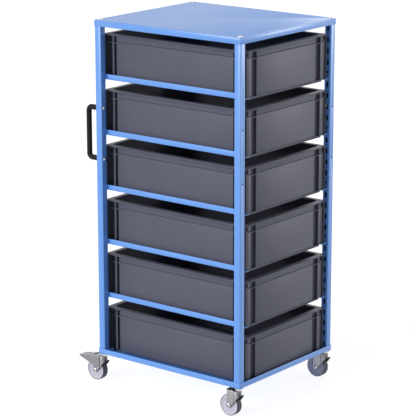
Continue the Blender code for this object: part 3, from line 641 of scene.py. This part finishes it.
def socket_head(radius: float, base: float, height: float, recess: float) -> Shape:
    """Return a domed head with a round driver recess, standing on its base.

    Args:
        radius: Radius of the head.
        base: Height of its underside.
        height: How tall it is.
        recess: Radius of the recess.

    Returns:
        The head, closed, about the Z axis.
    """
    brim = height * 0.08
    profile = [(0, base), (radius * 0.96, base), (radius, base + brim)]
    profile += [point for point in dome(radius, base + brim, height - brim)
                if point[0] > recess]
    rim = profile[-1][1]
    profile += [(recess, rim), (recess * 0.9, rim - height * 0.45), (0, rim - height * 0.55)]
    return Shape.spun(profile, 32)


@dataclass(frozen=True)
class Screw:
    """A screw about the Z axis: a domed head that stands on 0 and a plain shank below it."""

    radius: float
    height: float
    recess: float
    shank: float
    steps: int

    def shape(self, tip: float) -> Shape:
        """Return the screw whose shank ends at a height."""
        head = socket_head(self.radius, 0, self.height, self.recess)
        shank = [(0, 0), (self.shank, 0), (self.shank, tip), (0, tip)]
        return head.add(Shape.spun(shank, self.steps))


@dataclass
class Rack:
    """Folded trays, slotted posts and angle rails, with their fasteners."""

    levels: int = 5
    tray_edge: float = 0.00035
    post_edge: float = 0.0003
    post_inside: float = 0.0009
    post_end: float = 0.001
    rail_edge: float = 0.00035
    hook: float = 0.0045
    # Painted shade on the rails' hook ends, which lie in the posts' shadow.
    hook_shade: float = 0.55
    bolt: Screw = Screw(radius=0.0052, height=0.0028, recess=0.0017, shank=0.0029, steps=24)
    screw: Screw = Screw(radius=0.0042, height=0.0022, recess=0.0013, shank=0.0019, steps=20)

    def dress(self, shop: Workshop) -> None:
        """Dress the whole rack."""
        self.trays(shop)
        self.posts(shop)
        self.rails(shop)
        self.tray_bolts(shop)
        self.handle_screws(shop)

    def trays(self, shop: Workshop) -> None:
        """Dress both trays, their raw sheet edges rounded by the paint."""
        for node in ("top_tray", "base_tray"):
            shape = shop.copy(node).soften(self.tray_edge)
            shop.finish(shape, node, "sheet", Slot.PAINT)

    def posts(self, shop: Workshop) -> None:
        """Dress the four slotted tubes."""
        for corner in Corner:
            node = "post_" + corner.value
            low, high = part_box(node)
            inner = [(high[axis] - low[axis]) / 2 - self.post_inside for axis in (0, 1)]
            centre = middle(node)
            foot, head = low.z + self.post_end, high.z - self.post_end

            def inside(point: Vector, _: Vector) -> float:
                """Return full painted shade for faces inside the tube, where shadow falls, and
                none for its outer faces.
                """
                within = all(abs(point[axis] - centre[axis]) < inner[axis] for axis in (0, 1))
                return 1.0 if within and foot < point.z < head else 0.0

            shape = shop.copy(node).soften(self.post_edge).shade(inside)
            shop.finish(shape, node, "tube", Slot.PAINT)

    def rails(self, shop: Workshop) -> None:
        """Dress the five pairs of angle rails, with painted shade on their hook ends, where the
        posts shade them.
        """
        for level in range(1, self.levels + 1):
            for side in ("left", "right"):
                node = "rail_%d_%s" % (level, side)
                low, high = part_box(node)
                near, far = low.x + self.hook, high.x - self.hook
                shape = shop.copy(node).soften(self.rail_edge)
                # Cut off the hook ends as faces of their own; they take painted shade, apart from
                # faces turned up.
                shape.cut((near, 0, 0), (1, 0, 0)).cut((far, 0, 0), (1, 0, 0))
                shape.shade(lambda point, normal: 0.0 if near < point.x < far
                            or normal.z > TOWARDS else self.hook_shade)
                shop.finish(shape, node, "angle", Slot.PAINT)

    def tray_bolts(self, shop: Workshop) -> None:
        """Dress the bolts on the top tray with a driver recess."""
        for corner in Corner:
            node = "tray_bolt_" + corner.value
            low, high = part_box(node)
            place = Vector((middle(node).x, middle(node).y, high.z - self.bolt.height))
            shape = self.bolt.shape(low.z - place.z).move(Matrix.Translation(place))
            shop.finish(shape, node, "head", Slot.BRIGHT)

    def handle_screws(self, shop: Workshop) -> None:
        """Dress the screws that hold the handles, heads inside the rack."""
        turn = Matrix.Rotation(QUARTER, 4, "Y")
        for side in ("right", "left"):
            for end in ("lower", "upper"):
                node = "handle_screw_%s_%s" % (side, end)
                low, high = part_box(node)
                place = Vector((high.x - self.screw.height, middle(node).y, middle(node).z))
                shape = self.screw.shape(low.x - place.x)
                shape.move(Matrix.Translation(place) @ turn)
                shop.finish(shape, node, "head", Slot.BRIGHT)


@dataclass
class StackingBin:
    """One bin: edges rounded, band set back, ledges in its hollows, and in each corner notch a
    block that carries painted shade; its recesses, the groove under the band and the strip above
    the chin take painted shade too.

    Places along and across are from the middle of the bin, and heights from its underside.
    """

    level: int
    edge: float = 0.0004
    rim_edge: float = 0.0011
    length: float = 0.410
    width: float = 0.308
    height: float = 0.109
    step: float = 0.004
    recess: float = 0.0095
    foot: float = 0.006
    chin: Pair = (0.0063, 0.0080)
    ledge: Pair = (0.0886, 0.0904)
    ledge_edge: float = 0.0003
    groove: Pair = (0.0916, 0.0938)
    band_low: float = 0.094
    plate_low: float = 0.106
    shade_block: Pair = (0.2034, 0.1528)
    shade_block_size: Pair = (0.0085, 0.0054)
    shade_block_edge: float = 0.0012
    pillar: float = 0.1405
    end_hollows: Outline = ((0.111, 0.1305),)
    side_hollows: Outline = ((0.167, 0.175), (0.180, 0.1955))
    slack: float = 0.0003
    # Painted shade amounts: on the corner blocks, in the end and side recesses, in the groove
    # under the band (end, side) and on the strip above the chin.
    corner_shade: float = 0.76
    end_shade: float = 0.54
    side_shade: float = 0.76
    groove_shade: Pair = (0.6, 0.35)
    chin_shade: float = 0.45

    @property
    def node(self) -> str:
        """Node of this bin."""
        return "bin_%d" % self.level

    @property
    def notch(self) -> Pair:
        """Where the corner notches start, along and across."""
        return (self.shade_block[0] - self.shade_block_size[0], self.shade_block[1] - self.shade_block_size[1])

    def dress(self, shop: Workshop) -> None:
        """Dress the bin."""
        low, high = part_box(self.node)
        centre = Vector(((low.x + high.x) / 2, 0, low.z))
        shape = shop.copy(self.node).move(Matrix.Translation(-centre))
        self.set_back_band(shape)
        shape.soften(self.rim_edge, 4, above=self.height - 0.0002).soften(self.edge)
        # Cut the strip above the chin and the corner notches into faces of their own, to take
        # painted shade.
        for height in self.chin:
            shape.cut((0, 0, height), (0, 0, 1))
        for side in (-1, 1):
            shape.cut((side * self.notch[0], 0, 0), (1, 0, 0))
            shape.cut((0, side * self.notch[1], 0), (0, 1, 0))
        shape.add(self.details()).shade(self.painted_shade_at).move(Matrix.Translation(centre))
        shop.finish(shape, self.node, "moulding", Slot.BIN, self.node)

    def set_back_band(self, shape: Shape) -> None:
        """Set the band under the rim's thin plate back, flush with the panels below it."""
        for height in (self.plate_low - 0.001, self.plate_low):
            shape.cut((0, 0, height), (0, 0, 1))
        for vert in shape.mesh.verts:
            place = vert.co
            if not self.band_low - 0.0005 < place.z < self.plate_low - 0.0005:
                continue
            outer = False
            for axis, half in enumerate((self.length / 2, self.width / 2)):
                if abs(place[axis]) > half - 0.001:
                    place[axis] -= math.copysign(self.step, place[axis])
                    outer = True
            if outer and place.z > self.plate_low - 0.0015:
                place.z = self.plate_low - 0.0002

    def painted_shade_at(self, point: Vector, _: Vector) -> float:
        """Return how much painted shade a face takes, from 0 to 1: on the corner blocks, in the
        skirt's recesses, in the groove and on the strip above the chin.
        """
        along, across = abs(point.x), abs(point.y)
        # The corner blocks take painted shade that stands in for the shadow in the corner
        # notches.
        if along > self.notch[0] and across > self.notch[1] - 0.0001:
            return self.corner_shade if self.foot < point.z < self.plate_low else 0.0
        behind = (self.length / 2 - self.step - along, self.width / 2 - self.step - across)
        deepest = self.recess - self.step + 0.0002
        if self.ledge[0] - 0.0001 < point.z < self.ledge[1] + 0.0001:
            return 0.0
        if self.foot - 0.0004 < point.z < self.height - 0.0028:
            if self.slack < behind[0] < deepest and self.lies_in(across, self.end_hollows):
                return self.end_shade
            if self.slack < behind[1] < deepest and self.lies_in(along, self.side_hollows):
                return self.side_shade
        if self.groove[0] < point.z < self.groove[1] and self.slack < min(behind) < 0.0015:
            return self.groove_shade[behind[0] >= behind[1]]
        if self.chin[0] < point.z < self.chin[1] and behind[0] < 0.0005:
            return self.chin_shade
        return 0.0

    def lies_in(self, place: float, hollows: Outline) -> bool:
        """Tell whether a distance from the middle falls in one of the hollows."""
        return any(near - self.slack < place < far + 0.0015 for near, far in hollows)

    def details(self) -> Shape:
        """Return the ledges that cross the hollows, and in each corner a block that carries
        painted shade and a slab.
        """
        x, y = self.notch
        blocks = [
            ((self.shade_block[0], x), (self.shade_block[1], y),
             (self.foot + 0.0005, self.plate_low - 0.0001), self.shade_block_edge),
            ((self.length / 2 - self.step, x), (y - 0.0002, self.pillar),
             (self.foot + 0.0004, self.plate_low - 0.0002), self.edge)]
        for near, far in self.end_hollows:
            blocks.append((self.shelf(self.length), (near - 0.0004, far + 0.0004), self.ledge,
                           self.ledge_edge))
        for near, far in self.side_hollows:
            blocks.append(((near - 0.0004, far + 0.0004), self.shelf(self.width), self.ledge,
                           self.ledge_edge))
        shape = Shape()
        for along, across, (low, high), soft in blocks:
            for face in (-1, 1):
                for side in (-1, 1):
                    x = sorted(face * place for place in along)
                    y = sorted(side * place for place in across)
                    shape.add(Shape.block((x[0], y[0], low), (x[1], y[1], high), soft))
        return shape

    def shelf(self, size: float) -> Pair:
        """Return where a ledge starts and ends behind the faces of a size."""
        return (size / 2 - self.recess - 0.0004, size / 2 - self.step - 0.0006)


@dataclass
class BowHandle:
    """A round rod that is bent twice and stands on its two ends."""

    side: str
    radius: float = 0.0063
    bend: float = 0.0092
    edge: float = 0.0004

    def dress(self, shop: Workshop) -> None:
        """Dress the handle."""
        node = "handle_" + self.side
        low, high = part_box(node)
        y = middle(node).y
        top = high.z - self.radius
        bottom = low.z + self.radius
        grip = low.x + self.radius
        start = high.x
        rod = Rod((start, y, top), (-1, 0, 0), self.radius)
        rod.straight((grip + self.bend - start, 0, 0))
        rod.bend((grip + self.bend, y, top - self.bend))
        rod.straight((0, 0, bottom - top + 2 * self.bend))
        rod.bend((grip + self.bend, y, bottom + self.bend))
        rod.straight((start - grip - self.bend, 0, 0))
        shape = rod.finished().soften(self.edge)
        shop.finish(shape, node, "bow", Slot.BLACK, smooth=50.0)


@dataclass
class SwivelCaster:
    """One caster: head, fork, guard, axle, wheel and, at the back, its pedal.

    Outlines of turned pieces are radii and heights about the axis. Corners of blocks, the
    nose and the cheek are places from the kingpin's point on the tray's underside.
    """

    corner: Corner
    steps: int = 64
    stem: float = 0.011
    stem_end: Outline = ((0, 0), (0.0034, 0), (0.0039, -0.0006))
    race: Outline = (
        (0.0039, -0.0003), (0.0100, -0.0003), (0.0105, -0.0008), (0.0105, -0.0016),
        (0.0100, -0.0021), (0.0082, -0.0021), (0.0078, -0.0024), (0.0078, -0.0052),
        (0.0074, -0.0060), (0.0060, -0.0077), (0.0022, -0.0077))
    rivet: Outline = ((0.0022, 0.0016), (0.0035, 0.0016), (0.0035, 0.0005), (0.0030, 0), (0, 0))
    fork_edge: float = 0.00025
    fork_half: float = 0.0103
    fold: float = -0.0066
    fold_half: float = 0.0008
    fold_top: float = -0.0095
    nose: Point = (0.0055, 0.0, -0.0240)
    slant: float = math.radians(46.5)
    strip: float = 0.0012
    # Painted shade on the fork: in the fold, along the slanted edge, round the nose, on flat
    # sides and on bends.
    fold_shade: float = 0.78
    cut_shade: float = 0.66
    nose_shade: float = 0.65
    nose_start: float = 0.2
    side_shade: float = 0.10
    bend_shade: float = 0.6
    tongue: tuple = ((-0.0080, -0.0034, -0.0012), (0.0062, 0.0034, 0.0022), 0.0010)
    tongue_slope: float = math.radians(-55)
    edging_width: float = 0.0022
    edging_back: float = -0.0020
    skin: float = 0.0003
    cap_box: tuple = ((-0.0278, -0.0086, -0.0080), (-0.0090, 0.0086, -0.0022))
    cap_slope: Pair = (-0.0208, -0.0058)
    cap_edge: float = 0.0006
    lip_box: tuple = ((-0.0284, -0.0106, -0.0088), (-0.0086, 0.0106, -0.0074), 0.0003)
    axle_radius: float = 0.003
    axle_head: Point = (0.0048, 0.0022, 0.0024)
    # Painted shade in the recesses of the axle heads.
    recess_shade: float = 0.9
    wheel_radius: float = 0.025
    width: float = 0.0166
    disc_half: Outline = (
        (0.0033, -0.0002), (0.0036, 0), (0.0061, 0), (0.0065, -0.0004), (0.0072, -0.0022),
        (0.0125, -0.0026), (0.0130, -0.0018), (0.0141, -0.0018), (0.0146, -0.0026),
        (0.0176, -0.0024), (0.0181, -0.0014), (0.0192, -0.0014), (0.0197, -0.0020),
        (0.0209, -0.0018), (0.0216, -0.0004), (0.0221, 0), (0.0228, 0), (0.0232, -0.0004),
        (0.0232, -0.0012), (0.0217, -0.0012))
    rib: tuple = ((0.0068, -0.0004, -0.0030), (0.0178, 0.0004, -0.0019), 0.0002)
    ribs: int = 12
    # Painted shade on the disc: on the walls of its rings and ribs, and on flat faces, more the
    # deeper they lie behind the face.
    ring_shade: Pair = (0.30, 0.35)
    ring_fade: float = 70.0
    tread_depth: float = 0.003
    tread: Outline = (
        (-0.0017, -0.0003), (-0.0014, 0), (-0.0008, 0), (-0.0002, -0.0006), (0, -0.0016),
        (0, -0.0044), (-0.0005, -0.0046), (-0.0005, -0.0052), (0, -0.0054))
    cheek: Outline = (
        (-0.0698, -0.0152), (-0.0698, -0.0172), (-0.0610, -0.0206), (-0.0506, -0.0243),
        (-0.0380, -0.0280), (-0.0310, -0.0308), (-0.0278, -0.0335), (-0.0262, -0.0375),
        (-0.0110, -0.0330), (-0.0072, -0.0270), (-0.0072, -0.0080), (-0.0270, -0.0066))
    cheek_gap: Pair = (0.0002, 0.0013)
    cheek_edge: float = 0.0004
    pedal_edge: float = 0.0003
    # Painted shade on the pedal: on its flat sides, and more on its other faces not turned up.
    pedal_shade: Pair = (0.22, 0.4)
    pedal_slope: float = math.radians(-10.5)
    crest: Pair = (0.0439, -0.0064)
    studs: Outline = ((0.0246, 0.0019), (0.0165, 0.0013))
    pin_half: Outline = (
        (0, 0), (0.0014, -0.0001), (0.0023, -0.0004), (0.0026, -0.001), (0.0015, -0.001))

    def dress(self, shop: Workshop) -> None:
        """Dress the caster."""
        self.head(shop)
        self.fork(shop)
        self.guard(shop)
        self.axle(shop)
        self.disc(shop)
        self.tyre(shop)
        if self.corner.braked:
            self.pedal(shop)
            self.pedal_studs(shop)
            self.pedal_pin(shop)
        else:
            self.cap(shop)

    def named(self, piece: str) -> str:
        """Return the node or body name of one of this caster's pieces."""
        return "%s_%s" % (piece, self.corner.value)

    @property
    def kingpin(self) -> Vector:
        """Where the swivel's axis meets the tray's underside."""
        node = self.named("caster_head")
        return Vector((middle(node).x, middle(node).y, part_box(node)[1].z - self.stem))

    @property
    def inward(self) -> Vector:
        """Direction from the fork's slanted lower edge into its sheet."""
        return Vector((-math.sin(self.slant), 0, math.cos(self.slant)))

    def head(self, shop: Workshop) -> None:
        """Dress the swivel head: stem, plate, ball race and rivet."""
        node = self.named("caster_head")
        low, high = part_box(node)
        profile = [*raised(self.stem_end, high.z), *raised(self.race, high.z - self.stem),
                   *raised(self.rivet, low.z)]
        head = Shape.spun(profile, 40)
        head.move(Matrix.Translation((middle(node).x, middle(node).y, 0)))
        shop.finish(head, node, "turned", Slot.BRIGHT)

    def fork(self, shop: Workshop) -> None:
        """Dress the fork that is bent from one sheet."""
        node = self.named("fork")
        pin = self.kingpin
        shape = shop.copy(node).soften(self.fork_edge)
        # Cut the fold line and the strip along the slanted edge into faces of their own, to take
        # painted shade.
        for x in (self.fold - self.fold_half, self.fold + self.fold_half):
            shape.cut((pin.x + x, 0, 0), (1, 0, 0))
        shape.cut(pin + Vector(self.nose) + self.strip * self.inward, self.inward)
        shape.shade(lambda point, normal: self.fork_painted_shade(point - pin, normal))
        shop.finish(shape, node, "sheet", Slot.ZINC, self.named("swivel"))

    def fork_painted_shade(self, place: Vector, normal: Vector) -> float:
        """Return the fork's painted shade: a line in the fold, a strip along the slanted edge,
        more round towards the nose, a little on flat sides, more on cut edges and bends, none on
        faces turned up.
        """
        flat = abs(normal.y) > SQUARE
        if flat and abs(place.x - self.fold) < self.fold_half and place.z < self.fold_top:
            return self.fold_shade
        if flat and (place - Vector(self.nose)).dot(self.inward) < self.strip:
            return self.cut_shade
        if normal.z > 0.6:
            return 0.0
        if place.x > self.fold and normal.x > self.nose_start:
            return min(self.nose_shade, 0.9 * (normal.x - self.nose_start))
        return self.side_shade if flat else self.bend_shade

    def guard(self, shop: Workshop) -> None:
        """Dress the black tongue in front of the wheel."""
        node = self.named("guard")
        slope = Matrix.Rotation(self.tongue_slope, 4, "Y")
        shape = Shape.block(*self.tongue).move(Matrix.Translation(middle(node)) @ slope)
        shape.add(self.edging(shop))
        shop.finish(shape, node, "tongue", Slot.BLACK, self.named("swivel"))

    def edging(self, shop: Workshop) -> Shape:
        """Return the black edging on the slanted edge below the fork's nose."""
        pin = self.kingpin
        shape = shop.copy(self.named("fork"))
        shape.trim(pin + Vector(self.nose) + self.edging_width * self.inward, self.inward)
        shape.trim(pin + Vector((self.edging_back, 0, 0)), (-1, 0, 0))
        shape.mesh.normal_update()
        for vert in shape.mesh.verts:
            vert.co += self.skin * vert.normal
        return shape

    def cap(self, shop: Workshop) -> None:
        """Dress a black block on the fork behind the swivel head, just under the tray, and the
        pale plate under it.
        """
        node = self.named("fork")
        place = Matrix.Translation(self.kingpin)
        slope_start, slope_foot = self.cap_slope
        cap = Shape.block(*self.cap_box).cut((slope_start, 0, 0), (1, 0, 0))
        for vert in cap.mesh.verts:
            if vert.co.x < slope_start - MERGE and vert.co.z > slope_foot:
                vert.co.z = slope_foot
        cap.soften(self.cap_edge).move(place)
        shop.finish(cap, node, "cap", Slot.BLACK, self.named("swivel"), True)
        lip = Shape.block(*self.lip_box).move(place)
        shop.finish(lip, node, "lip", Slot.BRIGHT, self.named("swivel"), True)

    def axle(self, shop: Workshop) -> None:
        """Dress the axle with a domed head on each side."""
        node = self.named("axle")
        half = half_width(node)
        radius, height, recess = self.axle_head
        seat = half - height
        shape = Shape.spun([(0, seat), (self.axle_radius, seat), (self.axle_radius, -seat),
                            (0, -seat)], 24)
        for turn in (0, math.pi):
            head = socket_head(radius, seat, height, recess)
            shape.add(head.move(Matrix.Rotation(turn, 4, "X")))
        # Painted shade in the heads' recesses.
        shape.shade(lambda point, _: 0.0 if math.hypot(point.x, point.y) > recess - 0.0001
                    or abs(point.z) > half - 0.0002 else self.recess_shade)
        shape.move(Matrix.Translation(middle(node)) @ ACROSS)
        shop.finish(shape, node, "rivet", Slot.BRIGHT, self.named("swivel"))

    def disc(self, shop: Workshop) -> None:
        """Dress the wheel's disc with its hub, rings and ribs."""
        node = self.named("disc")
        face = self.width / 2
        shape = Shape.spun(mirrored(raised(self.disc_half, face)), self.steps, True)
        for number in range(self.ribs):
            turn = Matrix.Rotation(number * FULL_TURN / self.ribs, 4, "Z")
            for side in (0, math.pi):
                place = Matrix.Rotation(side, 4, "X") @ turn @ Matrix.Translation((0, 0, face))
                shape.add(Shape.block(*self.rib).move(place))
        # Painted shade: walls take one amount, flat faces more the deeper they lie behind the
        # disc's face, up to a limit.
        flat, wall = self.ring_shade
        shape.shade(lambda point, normal: wall if abs(normal.z) <= TOWARDS
                    else min(flat, max(0.0, (face - abs(point.z)) * self.ring_fade)))
        shape.move(Matrix.Translation(middle(node)) @ ACROSS)
        shop.finish(shape, node, "moulding", Slot.DISC, self.named("wheel"))

    def tyre(self, shop: Workshop) -> None:
        """Dress the tread: round shoulders and two shallow grooves."""
        node = self.named("tyre")
        bead = half_width(node) - 0.0003
        side = self.width / 2 - 0.0002
        tread = [(self.wheel_radius + radius, side + height) for radius, height in self.tread]
        half = [(self.wheel_radius - self.tread_depth, bead), (tread[0][0], bead), *tread]
        shape = Shape.spun(mirrored(half), self.steps, True)
        shape.move(Matrix.Translation(middle(node)) @ ACROSS)
        shop.finish(shape, node, "tread", Slot.RUBBER, self.named("wheel"))

    def pedal(self, shop: Workshop) -> None:
        """Dress the brake pedal, with a cheek on each side of the fork."""
        node = self.named("pedal")
        shape = shop.copy(node).soften(self.pedal_edge)
        for side in (1, -1):
            near, far = sorted(side * (self.fork_half + gap) for gap in self.cheek_gap)
            cheek = Shape.plate(self.cheek, near, far).soften(self.cheek_edge)
            shape.add(cheek.move(Matrix.Translation(self.kingpin)))
        # Painted light by facing: faces turned up keep the plain colour, the flat sides take some
        # painted shade, the other faces more.
        shape.shade(lambda _, normal: 0.0 if normal.z > TOWARDS
                    else self.pedal_shade[abs(normal.y) <= SQUARE])
        shop.finish(shape, node, "pressing", Slot.ZINC, self.named("brake"))

    def pedal_studs(self, shop: Workshop) -> None:
        """Dress the two black studs on top of the pedal."""
        node = self.named("pedal")
        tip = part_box(node)[0].x
        slope = Matrix.Rotation(self.pedal_slope, 4, "Y")
        for number, (along, size) in enumerate(self.studs, 1):
            stud = socket_head(size, 0, size * 0.85, size * 0.3)
            rise = self.crest[1] + (self.crest[0] - along) * math.tan(self.pedal_slope)
            place = (tip + along, middle(node).y, self.kingpin.z + rise)
            stud.move(Matrix.Translation(place) @ slope)
            shop.finish(stud, node, "stud_%d" % number, Slot.BLACK, self.named("brake"), True)

    def pedal_pin(self, shop: Workshop) -> None:
        """Dress the pin that the pedal turns on."""
        node = self.named("pedal_pin")
        shape = Shape.spun(mirrored(raised(self.pin_half, half_width(node))), 24)
        shape.move(Matrix.Translation(middle(node)) @ ACROSS)
        shop.finish(shape, node, "rivet", Slot.BRIGHT, self.named("swivel"))


@dataclass
class Studio:
    """Pale floor, soft lights and the camera at the photograph's angle.

    Each light has its name, type, place, the point that it faces, and settings. Suns light
    everything evenly from a broad soft patch of sky.
    """

    azimuth: float = 38.1772
    elevation: float = 14.3288
    roll: float = -0.0498
    lens: float = 171.48
    sensor: float = 36.0
    clip: Pair = (0.1, 60.0)
    stand: Point = (2.77868, -3.52566, 1.56214)
    lights: tuple = (
        ("key_light", "SUN", (-0.27, -0.95, 0.42), (0, 0, 0),
         {"angle": math.radians(30), "energy": 2.06}),
        ("side_light", "SUN", (0.64, 0.74, 0.12), (0, 0, 0),
         {"angle": math.radians(26), "energy": 1.20}),
        ("back_lamp", "AREA", (-1.2, 3.4, 1.7), (0, 0, 0.45),
         {"shape": "SQUARE", "size": 1.0, "energy": 16.0}))
    fill: float = 0.34
    floor_size: float = 7.0
    floor_grey: float = 0.78
    seen_grey: float = 0.34
    glow: float = 0.86

    def set_up(self) -> None:
        """Make the camera, the world, the floor and the lamps."""
        scene = bpy.context.scene
        scene.view_settings.view_transform = "Standard"
        self.camera(scene)
        self.world(scene)
        self.floor()
        for name, kind, place, aim, settings in self.lights:
            data = bpy.data.lights.new(name, kind)
            for key, value in settings.items():
                setattr(data, key, value)
            light = shown(name, data)
            turn = (Vector(aim) - Vector(place)).to_track_quat("-Z", "Y").to_matrix().to_4x4()
            light.matrix_world = Matrix.Translation(place) @ turn
            light.visible_camera = False

    def camera(self, scene: bpy.types.Scene) -> None:
        """Place the camera."""
        turn = (Matrix.Rotation(math.radians(self.azimuth), 4, "Z")
                @ Matrix.Rotation(QUARTER - math.radians(self.elevation), 4, "X")
                @ Matrix.Rotation(math.radians(self.roll), 4, "Z"))
        data = bpy.data.cameras.new("view")
        data.lens = self.lens
        data.sensor_width = self.sensor
        data.clip_start, data.clip_end = self.clip
        camera = shown("view", data)
        camera.matrix_world = Matrix.Translation(self.stand) @ turn
        scene.camera = camera

    def world(self, scene: bpy.types.Scene) -> None:
        """Make the surroundings: white to the eye and in gloss, a dimmer fill for the rest."""
        scene.world = bpy.data.worlds.new("surroundings")
        scene.world.use_nodes = True
        graph = Graph(scene.world.node_tree)
        bright = graph.rays("Is Camera Ray", "Is Glossy Ray", "Is Transmission Ray")
        level = graph.out("Result", "ShaderNodeMapRange", None,
                          {"To Min": self.fill, "To Max": 1.0, "Value": bright})
        background = graph.tree.nodes["Background"]
        graph.feed(background.inputs["Color"], (1.0, 1.0, 1.0, 1.0))
        graph.feed(background.inputs["Strength"], level)

    def floor(self) -> None:
        """Lay a pale floor that is white to the eye and keeps a soft shadow."""
        mesh = bpy.data.meshes.new("floor")
        sheet = bmesh.new()
        bmesh.ops.create_grid(sheet, x_segments=1, y_segments=1, size=self.floor_size)
        sheet.to_mesh(mesh)
        sheet.free()
        recipe = Recipe("floor_white")
        nodes = recipe.tree.nodes
        nodes.remove(nodes["Principled BSDF"])
        matte, seen = [recipe.out(0, "ShaderNodeBsdfDiffuse", None, {"Color": (*[grey] * 3, 1.0)})
                       for grey in (self.floor_grey, self.seen_grey)]
        glow = recipe.out(0, "ShaderNodeEmission", None, {"Strength": self.glow})
        both = recipe.out(0, "ShaderNodeAddShader", None, {0: seen, 1: glow})
        eye = recipe.rays("Is Camera Ray", "Is Glossy Ray")
        choice = recipe.out(0, "ShaderNodeMixShader", None, {0: eye, 1: matte, 2: both})
        recipe.feed(nodes["Material Output"].inputs["Surface"], choice)
        mesh.materials.append(recipe.material)
        shown("floor", mesh)


def main() -> None:
    """Build every sub-assembly in order."""
    logging.basicConfig(level=logging.INFO, format="%(name)s %(message)s")
    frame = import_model()
    Studio().set_up()
    shop = Workshop(frame["nodes"], Paintshop())
    Rack().dress(shop)
    for level in range(1, 7):
        StackingBin(level).dress(shop)
    for side in ("right", "left"):
        BowHandle(side).dress(shop)
    for corner in Corner:
        SwivelCaster(corner).dress(shop)
    LOG.info("%d pieces", shop.count)


if __name__ == "__main__":
    main()
